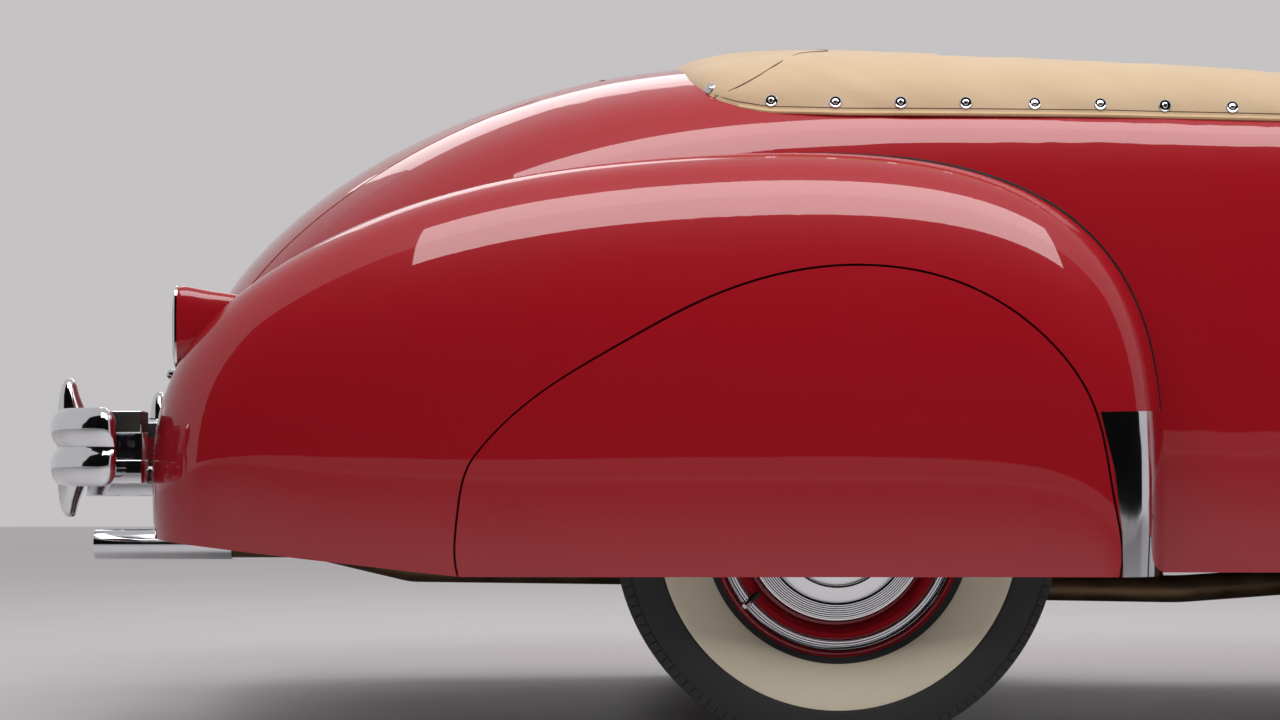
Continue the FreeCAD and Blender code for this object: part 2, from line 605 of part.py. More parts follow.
def door_hinge(moving):
    """The left door's own hinge knuckles, or the pillar's lugs above and below them."""
    half, outer, depth = 18.0, 40.0, 5.0
    pieces = []
    for z in DOOR_HINGE_Z:
        if moving:
            spans = ((z - half, z + half),)
        else:
            spans = ((z - outer, z - half - PIN_CLEARANCE), (z + half + PIN_CLEARANCE, z + outer))
        for low, high in spans:
            barrel = cylinder(at(DOOR_PIN_S, DOOR_PIN_Y, low), V(0, 0, 1), DOOR_PIN_RADIUS, high - low)
            reach = (DOOR_PIN_S - 34.0, DOOR_PIN_S) if moving else (DOOR_PIN_S, DOOR_PIN_S + 34.0)
            leaf = box(reach[0], reach[1], DOOR_PIN_Y - 60.0, DOOR_PIN_Y + depth, low, high)
            pieces.append(barrel.fuse(leaf))
    solid = Part.makeCompound(pieces)
    keep = box(DOOR_PIN_S - 100.0, DOOR_PIN_S + 100.0, 0.0, 1000.0, 0.0, 1500.0)
    inside = HULL.common(keep)
    if moving:
        return solid.cut(inside.common(door_block(DOOR_GAP))).cut(inside)
    return solid.cut(inside)


def pillar_cut(shell):
    """A body panel without the doors' openings."""
    for _, side in SIDES:
        shell = shell.cut(on_side(door_block(0.0), side))
    return shell


ROCKER_DEPTH = 24.0


def floor_pan():
    """Cabin floor with its tunnel, the riser and floor over the rear axle, and the sills with their rockers."""
    inner = HULL_ROOM.cut(GROUND_BLOCK)
    top = FLOOR_Z + FLOOR_THICK
    clear = WALL + DOOR_GAP
    inside = dome(hull_cage(clear))
    core = dome(hull_cage(clear + ROCKER_DEPTH))
    middle = inside.common(box(REAR_FLOOR_FRONT, FIREWALL + PANEL, -1000.0, 1000.0, FLOOR_Z, top))
    tunnel_outer = box(REAR_FLOOR_FRONT + 10.0, FIREWALL + PANEL, -TUNNEL_HALF + 1.0, TUNNEL_HALF - 1.0,
                       FLOOR_Z, TUNNEL_TOP - 1.0)
    tunnel_inner = box(REAR_FLOOR_FRONT - 1.0, FIREWALL + 50.0, -TUNNEL_HALF + 15.0, TUNNEL_HALF - 15.0,
                       0.0, TUNNEL_TOP - 15.0)
    riser = inner.common(box(REAR_FLOOR_FRONT, REAR_FLOOR_FRONT + FLOOR_THICK, -1000.0, 1000.0,
                             FLOOR_Z, REAR_FLOOR_Z + FLOOR_THICK))
    high = HULL_PANEL_ROOM.common(box(-1120.0, REAR_FLOOR_FRONT, -1000.0, 1000.0, REAR_FLOOR_Z,
                                      REAR_FLOOR_Z + FLOOR_THICK))
    rocker = inside.cut(core).common(box(SILL_REAR, SILL_FRONT - 40.0, -1000.0, 1000.0, 330.0, top))
    web = HULL_WALL.cut(core).common(box(SILL_REAR, SILL_FRONT - 40.0, -1000.0, 1000.0, 340.0, DOOR_BOTTOM - 1.0))
    sills = THICK_HULL.common(sill_block())
    pan = middle.fuse([riser, high, tunnel_outer, rocker, web, sills]).cut(tunnel_inner)
    for room in ROOMS:
        pan = pan.cut(room)
    kick = box(REAR_FLOOR_FRONT - 5.0, 650.0, RAIL_Y - RAIL_WIDTH, RAIL_Y + RAIL_WIDTH, 300.0, REAR_FLOOR_Z - 1.0)
    return largest(pan.cut([kick, mirrored(kick)]))


def wheelhouses():
    """Liners over the four wheels, each a half drum with its inner wall."""
    liners = []
    for axle, inner, outer, low in ((0.0, REAR_LINER_Y, 742.0, 470.0), (FRONT_AXLE_S, FRONT_LINER_Y, 760.0, 470.0)):
        centre = at(axle, inner - PANEL, TYRE_RADIUS)
        drum = cylinder(centre, V(0, 1, 0), LINER_RADIUS + PANEL - 1.0, outer - inner + PANEL)
        room = cylinder(centre + V(0, PANEL - 1.0, 0), V(0, 1, 0), LINER_RADIUS, outer)
        shell = drum.cut(room).common(box(axle - 600.0, axle + 600.0, 0.0, 1000.0, low, 1200.0))
        shell = shell.cut(box(axle - 126.0, axle + 126.0, 0.0, inner + 60.0, 0.0, TOWER_TOP + 12.0))
        liners.append((axle, shell))
    rear = liners[0][1].common(box(-600.0, 600.0, REAR_LINER_Y - PANEL, 742.0, 0.0, 1200.0))
    fender_room = dome(fender_cage(FRONT_FENDER_ROWS, PANEL + TRIM_GAP))
    front = liners[1][1].common(fender_room.fuse(HULL_PANEL_ROOM))
    solids = []
    for shell in (rear, front):
        solid = largest(shell)
        solids += [solid, mirrored(solid)]
    return Part.makeCompound(solids)


# ---- chassis -------------------------------------------------------------------------------------------------------

RAIL_FRONT = 3700.0


def rail_outline():
    """Side-view outline of a frame rail: low under the cabin, over the rear axle and level at the front."""
    top = FLOOR_Z
    low = top - RAIL_HEIGHT
    high = REAR_FLOOR_Z
    return ((-1120.0, high - 132.0), (-900.0, high - 62.0), (-560.0, high - 2.0), (310.0, high - 2.0),
            (640.0, top - 1.0), (2500.0, top - 1.0), (2800.0, top + 30.0), (RAIL_FRONT, top + 30.0),
            (RAIL_FRONT, low + 40.0), (2800.0, low + 40.0), (2500.0, low), (560.0, low),
            (250.0, high - RAIL_HEIGHT + 10.0), (-560.0, high - RAIL_HEIGHT + 10.0),
            (-900.0, high - RAIL_HEIGHT - 52.0), (-1120.0, high - RAIL_HEIGHT - 92.0))


def frame_rails():
    """The two long rails of the ladder frame."""
    rail = side_prism(rail_outline(), RAIL_Y - RAIL_WIDTH / 2.0, RAIL_Y + RAIL_WIDTH / 2.0)
    return Part.makeCompound([rail, mirrored(rail)])


def cross_members():
    """Cross members between the rails, and the hangers that carry the rear springs."""
    half = RAIL_Y - RAIL_WIDTH / 2.0
    low = FLOOR_Z - RAIL_HEIGHT
    members = [box(s, s + 90.0, -half, half, z0, z1) for s, z0, z1 in (
        (-1060.0, 450.0, 520.0), (-330.0, 566.0, 626.0), (900.0, low + 4.0, low + 56.0),
        (1900.0, low + 4.0, low + 56.0), (2480.0, low + 14.0, low + 70.0), (3560.0, 372.0, 440.0))]
    outer = RAIL_Y + RAIL_WIDTH / 2.0
    front = box(SPRING_FRONT - 30.0, SPRING_FRONT + 30.0, outer, SPRING_Y + 34.0, 318.0, 400.0)
    front = front.cut(spring_eye(SPRING_FRONT, SPRING_EYE_Z))
    rear = box(SPRING_REAR - 26.0, SPRING_REAR + 26.0, outer, SPRING_Y + 34.0, 470.0, 540.0)
    shackle = [box(SPRING_REAR - 20.0, SPRING_REAR + 20.0, SPRING_Y + d, SPRING_Y + d + 6.0, 330.0, 470.0)
               for d in (-34.0, 28.0)]
    rear = rear.fuse(shackle)
    hangers = [front, mirrored(front), rear, mirrored(rear)]
    return Part.makeCompound(members + hangers)


SPRING_FRONT = 690.0
SPRING_REAR = -690.0
SPRING_EYE_Z = 356.0


def spring_eye(s, z):
    """Room for a spring's rolled eye in its hanger."""
    return box(s - 40.0, s + 26.0, SPRING_Y - 27.0, SPRING_Y + 27.0, z - 28.0, z + 28.0)


LEAF = 7.0
LEAVES = 5
LEAF_STEP = 118.0
SPRING_HALF = 690.0
SPRING_SAG = 46.0


def leaf_springs():
    """The two rear leaf springs: stepped packs of leaves under the axle, with eyes at both ends."""
    def top_z(s):
        return SPRING_EYE_Z - 12.0 - SPRING_SAG * (1.0 - (s / SPRING_HALF) ** 2)
    steps = 12
    top = [-SPRING_HALF + 2.0 * SPRING_HALF * i / steps for i in range(steps + 1)]
    outline = [(s, top_z(s)) for s in top]
    under = []
    for k in range(LEAVES):
        reach = SPRING_HALF - LEAF_STEP * k
        inner = reach - LEAF_STEP if k < LEAVES - 1 else 0.0
        under += [(s, top_z(s) - LEAF * (k + 1)) for s in (reach, (reach + inner) / 2.0, inner)]
    outline += under + [(-s, z) for s, z in reversed(under[:-1])]
    sheet = side_prism(outline, SPRING_Y - 24.0, SPRING_Y + 24.0)
    eyes = [cylinder(at(s, SPRING_Y - 22.0, SPRING_EYE_Z), V(0, 1, 0), 21.0, 44.0)
            for s in (SPRING_FRONT - 14.0, SPRING_REAR + 4.0)]
    clip = box(-55.0, 55.0, SPRING_Y - 27.0, SPRING_Y + 27.0, 258.0, AXLE_Z - AXLE_TUBE)
    pack = largest(sheet.fuse(eyes + [clip]))
    return Part.makeCompound([pack, mirrored(pack)])


AXLE_Z = TYRE_RADIUS
AXLE_TUBE = 40.0
HUB_FACE = 690.0            # where the rear axle's flange ends and the wheel's drum begins


def rear_axle():
    """Rear axle tubes with the round differential housing and the backing plates."""
    tube = rod(at(0, -HUB_FACE + 6.0, AXLE_Z), at(0, HUB_FACE - 6.0, AXLE_Z), AXLE_TUBE)
    pumpkin = Part.makeSphere(128.0, at(0, 0, AXLE_Z))
    nose = rod(at(0, 0, AXLE_Z), at(190.0, 0, AXLE_Z), 62.0)
    plates = []
    for _, side in SIDES:
        plate = cylinder(at(0, HUB_FACE - 16.0, AXLE_Z), V(0, 1, 0), DRUM_RADIUS - 4.0, 10.0)
        plates.append(on_side(plate, side))
    axle = tube.fuse([pumpkin, nose] + plates)
    clamp = box(-60.0, 60.0, -1000.0, 1000.0, 200.0, AXLE_Z - AXLE_TUBE)
    return largest(axle.cut(clamp.common(box(-60.0, 60.0, -620.0, 620.0, 200.0, 330.0))))


def driveshaft():
    """Open propeller shaft from the gearbox to the differential."""
    return rod(at(191.8, 0, AXLE_Z), at(2148.2, 0, 470.0), 33.0)


def engine():
    """Straight-eight engine as one plain block, with its gearbox."""
    block = box(2460.0, 3370.0, -150.0, 150.0, 470.0, 900.0)
    sump = box(2560.0, 3240.0, -100.0, 100.0, 400.0, 470.0)
    gearbox = box(2150.0, 2460.0, -95.0, 95.0, 400.0, 600.0)
    return largest(block.fuse([sump, gearbox]))


def radiator():
    """Radiator core with its tanks, behind the grille."""
    core = box(3500.0, 3550.0, -205.0, 205.0, 462.0, 940.0)
    top = box(3485.0, 3560.0, -170.0, 170.0, 940.0, 985.0)
    foot = box(3500.0, 3550.0, -RAIL_Y, RAIL_Y, FLOOR_Z + 30.0 + SEAT_GAP, 476.0)
    return largest(core.fuse([top, foot]))


EXHAUST_Y = -470.0
EXHAUST_RADIUS = 25.0
TIP_RADIUS = 28.5


def bent_tube(points, bend, radius):
    """A round bar along straight runs joined by bends of one radius."""
    pieces = []
    start = points[0]
    for before, corner, after in zip(points, points[1:], points[2:]):
        inward = (corner - before).normalize()
        outward = (after - corner).normalize()
        turn = inward.getAngle(outward)
        if turn < 0.01:
            continue
        reach = bend * math.tan(turn / 2.0)
        first, last = corner - inward * reach, corner + outward * reach
        middle = corner + (outward - inward).normalize() * (bend / math.cos(turn / 2.0) - bend)
        pieces.append(Part.LineSegment(start, first).toShape())
        pieces.append(Part.Arc(first, middle, last).toShape())
        start = last
    pieces.append(Part.LineSegment(start, points[-1]).toShape())
    direction = (points[1] - points[0]).normalize()
    ring = Part.Wire([Part.Circle(points[0], direction, radius).toShape()])
    return Part.Wire(pieces).makePipe(Part.Face(ring))


def exhaust():
    """Exhaust pipe from the engine's side to the tail, with its silencer."""
    ahead = [at(2420.0, -300.0, 560.0), at(2330.0, -300.0, 262.0), at(1690.0, -300.0, 262.0)]
    behind = [at(1080.0, -300.0, 262.0), at(930.0, -300.0, 270.0), at(660.0, -470.0, 262.0), at(300.0, -470.0, 268.0),
              at(-100.0, -470.0, 292.0), at(-750.0, -470.0, 300.0), at(-940.0, -470.0, 345.0),
              at(-1080.0 + SEAT_GAP, -470.0, 345.0)]
    silencer = rod(at(1700.0, -300.0, 262.0), at(1070.0, -300.0, 262.0), 72.0)
    flange = box(2395.0, 2445.0, -330.0, -150.0, 552.0, 572.0)
    return largest(silencer.fuse([bent_tube(ahead, 90.0, EXHAUST_RADIUS), bent_tube(behind, 90.0, EXHAUST_RADIUS),
                                  flange]))


def exhaust_tip():
    """Bright end of the tailpipe."""
    outer = rod(at(-1080.0, EXHAUST_Y, 345.0), at(-1332.0, EXHAUST_Y, 345.0), TIP_RADIUS)
    bore = rod(at(-1110.0, EXHAUST_Y, 345.0), at(-1340.0, EXHAUST_Y, 345.0), TIP_RADIUS - 3.0)
    return outer.cut(bore)


def fuel_tank():
    """Flat fuel tank under the trunk floor."""
    tank = box(-1010.0, -440.0, -330.0, 330.0, 505.0, 620.0)
    lower = box(-950.0, -500.0, -300.0, 300.0, 430.0, 505.0)
    members = box(-1061.0, -970.0 + TRIM_GAP, -400.0, 400.0, 440.0, 530.0)
    return largest(tank.fuse(lower).cut(members))


# ---- front suspension and steering ---------------------------------------------------------------------------------

def front_suspension():
    """Wishbones, coil springs and the cross member that carries them, on both sides."""
    cross = box(FRONT_AXLE_S - 70.0, FRONT_AXLE_S + 70.0, -RAIL_Y + RAIL_WIDTH / 2.0, RAIL_Y - RAIL_WIDTH / 2.0,
                315.0, 398.0)
    half = [cross]
    for _, side in SIDES:
        arms = []
        for z, thick, root in ((248.0, 26.0, RAIL_Y), (520.0, 20.0, RAIL_Y + 40.0)):
            spread = 120.0
            outline = ((FRONT_AXLE_S - spread, root), (FRONT_AXLE_S - spread + 40.0, root - 30.0),
                       (FRONT_AXLE_S + spread - 40.0, root - 30.0), (FRONT_AXLE_S + spread, root),
                       (FRONT_AXLE_S + 24.0, KINGPIN_Y + 10.0), (FRONT_AXLE_S - 24.0, KINGPIN_Y + 10.0))
            arms.append(plan_prism(outline, z, z + thick))
        tower = box(FRONT_AXLE_S - 64.0, FRONT_AXLE_S + 64.0, RAIL_Y + RAIL_WIDTH / 2.0, RAIL_Y + 108.0, 500.0, TOWER_TOP)
        bracket = box(FRONT_AXLE_S - 64.0, FRONT_AXLE_S + 64.0, RAIL_Y - RAIL_WIDTH / 2.0, RAIL_Y + 108.0,
                      FLOOR_Z + 30.0, 560.0)
        spring = rod(at(FRONT_AXLE_S, 496.0, 274.0), at(FRONT_AXLE_S, 496.0, 560.0), 47.0)
        foot = box(FRONT_AXLE_S - 60.0, FRONT_AXLE_S + 60.0, RAIL_Y - RAIL_WIDTH / 2.0, RAIL_Y + 20.0, 260.0, 357.0)
        carrier = arms[0].fuse([arms[1], tower, bracket, spring, foot])
        half.append(on_side(carrier, side))
    return largest(half[0].fuse(half[1:]))


def knuckle(side):
    """Steering knuckle: kingpin post, spindle and backing plate."""
    post = rod(at(FRONT_AXLE_S, KINGPIN_Y, 274.0 + PIN_CLEARANCE), at(FRONT_AXLE_S, KINGPIN_Y, 520.0 - PIN_CLEARANCE),
               19.0)
    spindle = rod(at(FRONT_AXLE_S, KINGPIN_Y, AXLE_Z), at(FRONT_AXLE_S, HUB_FACE - PIN_CLEARANCE, AXLE_Z), 34.0)
    arm = box(FRONT_AXLE_S - 130.0, FRONT_AXLE_S, KINGPIN_Y - 20.0, KINGPIN_Y + 4.0, 330.0, 352.0)
    plate = cylinder(at(FRONT_AXLE_S, HUB_FACE - 9.0, AXLE_Z), V(0, 1, 0), DRUM_RADIUS - 30.0, 6.0)
    return on_side(largest(post.fuse([spindle, arm, plate])), side)


# ---- wheels --------------------------------------------------------------------------------------------------------

def lathe(profile, centre):
    """A closed profile of (radius, offset) corners turned about the wheel's axle."""
    points = [centre + V(0, offset, radius) for radius, offset in profile]
    return Part.Face(Part.makePolygon(points + [points[0]])).revolve(centre, V(0, 1, 0), 360.0)


def tyre(axle_s):
    """Bias-ply tyre on the left, drawn as a turned section with a flat tread and round side walls."""
    half = TYRE_WIDTH / 2.0
    centre = at(axle_s, WHEEL_Y, TYRE_RADIUS)
    side = [(BEAD_RADIUS + 1.0, RIM_WIDTH / 2.0 - 10.0), (RIM_RADIUS + 4.0, RIM_WIDTH / 2.0 + 8.0),
            (RIM_RADIUS + 30.0, half - 8.0), (290.0, half), (328.0, half - 3.0), (352.0, half - 15.0),
            (368.0, half - 24.0)]
    curve = Part.BSplineCurve()
    curve.interpolate(Points=[centre + V(0, offset, radius) for radius, offset in side])
    other = Part.BSplineCurve()
    other.interpolate(Points=[centre + V(0, -offset, radius) for radius, offset in side])
    crown = Part.Arc(centre + V(0, half - 24.0, 368.0), centre + V(0, 0, TYRE_RADIUS),
                     centre + V(0, 24.0 - half, 368.0)).toShape()
    start, end = side[0][1], -side[0][1]
    bead = Part.LineSegment(centre + V(0, end, BEAD_RADIUS + 1.0), centre + V(0, start, BEAD_RADIUS + 1.0)).toShape()
    wire = Part.Wire(Part.__sortEdges__([curve.toShape(), crown, other.toShape(), bead]))
    return Part.Face(wire).revolve(centre, V(0, 1, 0), 360.0)


def wheel(axle_s):
    """Pressed-steel wheel on the left with its brake drum."""
    half = RIM_WIDTH / 2.0
    centre = at(axle_s, WHEEL_Y, TYRE_RADIUS)
    rim = lathe(((BEAD_RADIUS - 20.0, -half + 22.0), (BEAD_RADIUS - 6.0, -half + 4.0), (RIM_RADIUS - 3.0, -half - 3.0),
                 (RIM_RADIUS, -half - 1.0), (BEAD_RADIUS + 6.0, -half + 9.0), (BEAD_RADIUS, -half + 12.0),
                 (BEAD_RADIUS, half - 12.0), (BEAD_RADIUS + 6.0, half - 9.0), (RIM_RADIUS, half + 1.0),
                 (RIM_RADIUS - 3.0, half + 3.0), (BEAD_RADIUS - 6.0, half - 4.0), (BEAD_RADIUS - 20.0, half - 22.0)),
                centre)
    disc = lathe(((8.0, half - 44.0), (BEAD_RADIUS - 18.0, half - 44.0), (BEAD_RADIUS - 18.0, half - 30.0),
                  (150.0, half - 26.0), (110.0, half - 20.0), (8.0, half - 20.0)), centre)
    drum = lathe(((8.0, HUB_FACE - WHEEL_Y), (30.0, HUB_FACE - WHEEL_Y), (30.0, half - 60.0),
                  (DRUM_RADIUS - 14.0, half - 60.0), (DRUM_RADIUS - 14.0, HUB_FACE + 6.0 - WHEEL_Y),
                  (DRUM_RADIUS, HUB_FACE + 6.0 - WHEEL_Y), (DRUM_RADIUS, half - 44.0), (8.0, half - 44.0)), centre)
    return largest(rim.fuse([disc, drum, hub_cap(axle_s)]))


def hub_cap(axle_s):
    """Domed full hub cap on the left wheel's face, in stepped rings."""
    half = RIM_WIDTH / 2.0
    centre = at(axle_s, WHEEL_Y, TYRE_RADIUS)
    profile = [(0.0, half - 22.0), (HUB_CAP_RADIUS - 8.0, half - 28.0),
               (HUB_CAP_RADIUS, half - 14.0), (HUB_CAP_RADIUS - 4.0, half - 6.0), (126.0, half - 1.0),
               (118.0, half - 3.0), (96.0, half + 2.0), (80.0, half + 14.0), (60.0, half + 24.0), (34.0, half + 30.0),
               (0.0, half + 32.0)]
    return lathe(profile, centre)


# ---- bumpers, lamps and trim ---------------------------------------------------------------------------------------

def blade(points, flip):
    """Bumper bar with two rounded lobes, carried along a plan curve; flip is +1 at the rear and -1 at the front."""
    path = smooth_path(points)
    half = BUMPER_HEIGHT / 2.0
    start = points[0]
    tangent = path.Edges[0].tangentAt(path.Edges[0].FirstParameter)
    outward = V(tangent.y, -tangent.x, 0) * flip
    outline = ((0.0, -half + 6.0), (7.0, -half), (20.0, -half + 16.0), (25.0, -half * 0.5), (19.0, -5.0), (19.0, 5.0),
               (25.0, half * 0.5), (20.0, half - 16.0), (7.0, half), (0.0, half - 6.0))
    profile = Part.makePolygon([start + outward * depth + V(0, 0, rise) for depth, rise in outline + outline[:1]])
    return swept(path, profile)


def guard(face_s, y, sign):
    """Upright bumper guard with two horns that curl away from the body; sign is -1 at the rear and +1 at the front."""
    half = GUARD_HEIGHT / 2.0
    width = 54.0
    outline = ((2.0, 0.0), (3.0, 0.35), (8.0, 0.62), (16.0, 0.86), (24.0, 0.985), (34.0, 1.0), (36.0, 0.90),
               (38.0, 0.74), (48.0, 0.60), (58.0, 0.5))
    points = [(face_s - sign * depth, BUMPER_Z + share * half) for depth, share in outline]
    low = [(face_s - sign * depth, BUMPER_Z - share * half) for depth, share in reversed(outline[1:])]
    curve = Part.BSplineCurve()
    curve.interpolate(Points=[at(s, y - width / 2.0, z) for s, z in low + points])
    close = Part.LineSegment(curve.EndPoint, curve.StartPoint).toShape()
    face = Part.Face(Part.Wire([curve.toShape(), close]))
    return face.extrude(V(0, width, 0))


REAR_GUARD_Y = 500.0
FRONT_GUARD_Y = 420.0
REAR_FACE = -REAR_OVERHANG
FRONT_FACE = WHEELBASE + FRONT_OVERHANG


def rear_bumper():
    """Rear bumper bar that wraps round the fenders, with its spring-steel ends, brackets and two guards."""
    half = ((0.0, REAR_FACE + 36.0), (300.0, REAR_FACE + 39.0), (560.0, REAR_FACE + 49.0), (740.0, REAR_FACE + 66.0),
            (835.0, REAR_FACE + 98.0), (868.0, REAR_FACE + 140.0), (876.0, REAR_FACE + 176.0))
    points = [at(s, -y, BUMPER_Z) for y, s in reversed(half)] + [at(s, y, BUMPER_Z) for y, s in half[1:]]
    bar = blade(points, 1.0)
    guards = [guard(REAR_FACE, sign * REAR_GUARD_Y, -1.0) for sign in (1.0, -1.0)]
    arms = [bumper_arm(sign, 0.0) for sign in (1.0, -1.0)]
    stays = [on_side(bumper_stay(), side) for _, side in SIDES]
    return largest(bar.fuse(guards + arms + stays))


def bumper_stay():
    """Channel between the left end of the rear bumper and the fender's tail."""
    half = BUMPER_HEIGHT / 2.0 - 4.0
    stay = box(REAR_FACE + 105.0, -1100.0, 730.0, 800.0, BUMPER_Z - half, BUMPER_Z + half)
    channel = box(REAR_FACE + 100.0, -1100.0, 786.0, 801.0, BUMPER_Z - 22.0, BUMPER_Z + 24.0)
    seat = dome(fender_cage(REAR_FENDER_ROWS, -SEAT_GAP))
    behind = box(-1190.0, -1000.0, 600.0, 900.0, 300.0, 700.0)
    return largest(stay.cut([channel, seat, behind]))


def bumper_arm(sign, grow):
    """Bracket from a frame rail's end to the rear bumper, grown all round by a clearance."""
    y = sign * RAIL_Y
    return box(REAR_FACE + 38.0, -1120.0 - SEAT_GAP + grow, y - 18.0 - grow, y + 18.0 + grow, 432.0 - grow,
               484.0 + grow)


def front_bumper():
    """Front bumper bar with its brackets and two guards."""
    half = ((0.0, FRONT_FACE - 36.0), (300.0, FRONT_FACE - 38.0), (560.0, FRONT_FACE - 43.0),
            (760.0, FRONT_FACE - 54.0), (875.0, FRONT_FACE - 82.0), (922.0, FRONT_FACE - 124.0),
            (934.0, FRONT_FACE - 190.0))
    points = [at(s, -y, BUMPER_Z) for y, s in reversed(half)] + [at(s, y, BUMPER_Z) for y, s in half[1:]]
    bar = blade(points, -1.0)
    guards = [guard(FRONT_FACE, sign * FRONT_GUARD_Y, 1.0) for sign in (1.0, -1.0)]
    arms = [front_arm(sign, 0.0) for sign in (1.0, -1.0)]
    posts = [box(FRONT_FACE - 64.0, FRONT_FACE - 38.0, sign * RAIL_Y - 18.0, sign * RAIL_Y + 18.0, 380.0, 500.0)
             for sign in (1.0, -1.0)]
    return largest(bar.fuse(guards + arms + posts))


def front_arm(sign, grow):
    """Bracket from a frame rail's end to the front bumper, grown all round by a clearance."""
    y = sign * RAIL_Y
    return box(RAIL_FRONT + SEAT_GAP - grow, FRONT_FACE - 38.0, y - 18.0 - grow, y + 18.0 + grow, 380.0 - grow,
               440.0 + grow)


HEADLAMP_Y = 652.0
HEADLAMP_Z = 742.0
HEADLAMP_RADIUS = 96.0


def headlamps():
    """Round headlamps set in the front fenders, each a bowl with a domed glass."""
    lamps = []
    for _, side in SIDES:
        face = 3925.0
        bowl = rod(at(face - 120.0, HEADLAMP_Y, HEADLAMP_Z), at(face, HEADLAMP_Y, HEADLAMP_Z), HEADLAMP_RADIUS)
        radius = 220.0
        sag = math.sqrt(radius ** 2 - HEADLAMP_RADIUS ** 2)
        ball = Part.makeSphere(radius, at(face - sag, HEADLAMP_Y, HEADLAMP_Z))
        front = rod(at(face - 1.0, HEADLAMP_Y, HEADLAMP_Z), at(face + 60.0, HEADLAMP_Y, HEADLAMP_Z), HEADLAMP_RADIUS)
        lamps.append(on_side(largest(bowl.fuse(ball.common(front))), side))
    return Part.makeCompound(lamps)


TAIL_LAMP_Y = 722.0
TAIL_LAMP_FACE = -1144.0


def tail_lamps():
    """Pod-shaped tail lamps that stand on the rear fenders' ends."""
    seat = dome(fender_cage(REAR_FENDER_ROWS, -SEAT_GAP))
    lamps = []
    for _, side in SIDES:
        outline = ((TAIL_LAMP_FACE, 655.0), (TAIL_LAMP_FACE, 800.0), (TAIL_LAMP_FACE + 20.0, 806.0),
                   (TAIL_LAMP_FACE + 70.0, 800.0), (TAIL_LAMP_FACE + 140.0, 784.0), (TAIL_LAMP_FACE + 150.0, 700.0))
        pod = side_prism(outline, TAIL_LAMP_Y - 36.0, TAIL_LAMP_Y + 36.0)
        lamps.append(on_side(largest(pod.cut(seat).cut(HULL_SEATED)), side))
    return Part.makeCompound(lamps)


WINDSCREEN_S = 2088.0
WINDSCREEN_HALF = 618.0
WINDSCREEN_SWEEP = 104.0
WINDSCREEN_HEIGHT = 300.0
WINDSCREEN_RAKE = 150.0
GLASS = 6.0
FRAME_BAR = 22.0


def screen_half(inset, thick, side):
    """One pane's block of the two-piece windscreen, its edges moved inwards by inset."""
    low_z = SCREEN_FOOT_Z + inset
    top_z = SCREEN_FOOT_Z + WINDSCREEN_HEIGHT - inset
    inner = 4.0 + inset
    outer = WINDSCREEN_HALF - inset
    across = V(-WINDSCREEN_SWEEP, WINDSCREEN_HALF, 0).normalize()
    up = V(-WINDSCREEN_RAKE, 0, WINDSCREEN_HEIGHT)
    foot = at(WINDSCREEN_S, 0, SCREEN_FOOT_Z)

    def corner(along, z):
        lift = (z - SCREEN_FOOT_Z) / WINDSCREEN_HEIGHT
        return foot + across * along + up * lift
    top_outer = outer - 60.0
    points = [corner(inner, low_z), corner(outer, low_z), corner(top_outer, top_z), corner(inner, top_z)]
    normal = (points[1] - points[0]).cross(points[3] - points[0]).normalize()
    block = prism([point - normal * (thick / 2.0) for point in points], normal * thick)
    return on_side(block, side)


SCREEN_FOOT_Z = 1040.0


def windscreen_frame():
    """Bright frame round both panes, with the centre post, on the cowl."""
    halves = []
    for _, side in SIDES:
        halves.append(screen_half(0.0, FRAME_BAR, side).cut(screen_half(FRAME_BAR, FRAME_BAR * 2.0, side)))
    post = rod(at(WINDSCREEN_S + 4.0, 0, SCREEN_FOOT_Z),
               at(WINDSCREEN_S + 4.0 - WINDSCREEN_RAKE, 0, SCREEN_FOOT_Z + WINDSCREEN_HEIGHT), 13.0)
    slot = [screen_half(FRAME_BAR - 8.0, GLASS + 0.6, side) for _, side in SIDES]
    low = box(1500.0, 2400.0, -900.0, 900.0, 0.0, SCREEN_FOOT_Z + 6.0)
    frame = halves[0].fuse([halves[1], post]).cut(slot).cut(HULL_SEATED).cut(low)
    return largest(frame)


def windscreen_glass():
    """The two flat panes of the windscreen."""
    panes = [screen_half(FRAME_BAR - 7.7, GLASS, side).cut(HULL_SEATED) for _, side in SIDES]
    return Part.makeCompound([largest(pane) for pane in panes])


# ---- cabin ---------------------------------------------------------------------------------------------------------

def rounded_box(s0, s1, y0, y1, z0, z1, radius):
    """A block with all its edges rounded."""
    block = box(s0, s1, y0, y1, z0, z1)
    return block.makeFillet(radius, block.Edges)


def front_seat():
    """Bench front seat: cushion and back on their base."""
    half = BOOT_INNER - 15.0
    cushion = rounded_box(955.0, 1490.0, -half, half, 600.0, 760.0, 40.0)
    back = rounded_box(812.0, 965.0, -half, half, 600.0, 1212.0, 45.0)
    base = box(890.0, 1430.0, -540.0, 540.0, TUNNEL_TOP - 1.0 + SEAT_GAP, 640.0)
    feet = [box(920.0, 1390.0, sign * 480.0 - 60.0, sign * 480.0 + 60.0, FLOOR_Z + FLOOR_THICK + SEAT_GAP, 640.0)
            for sign in (1.0, -1.0)]
    return largest(cushion.fuse([back, base] + feet))


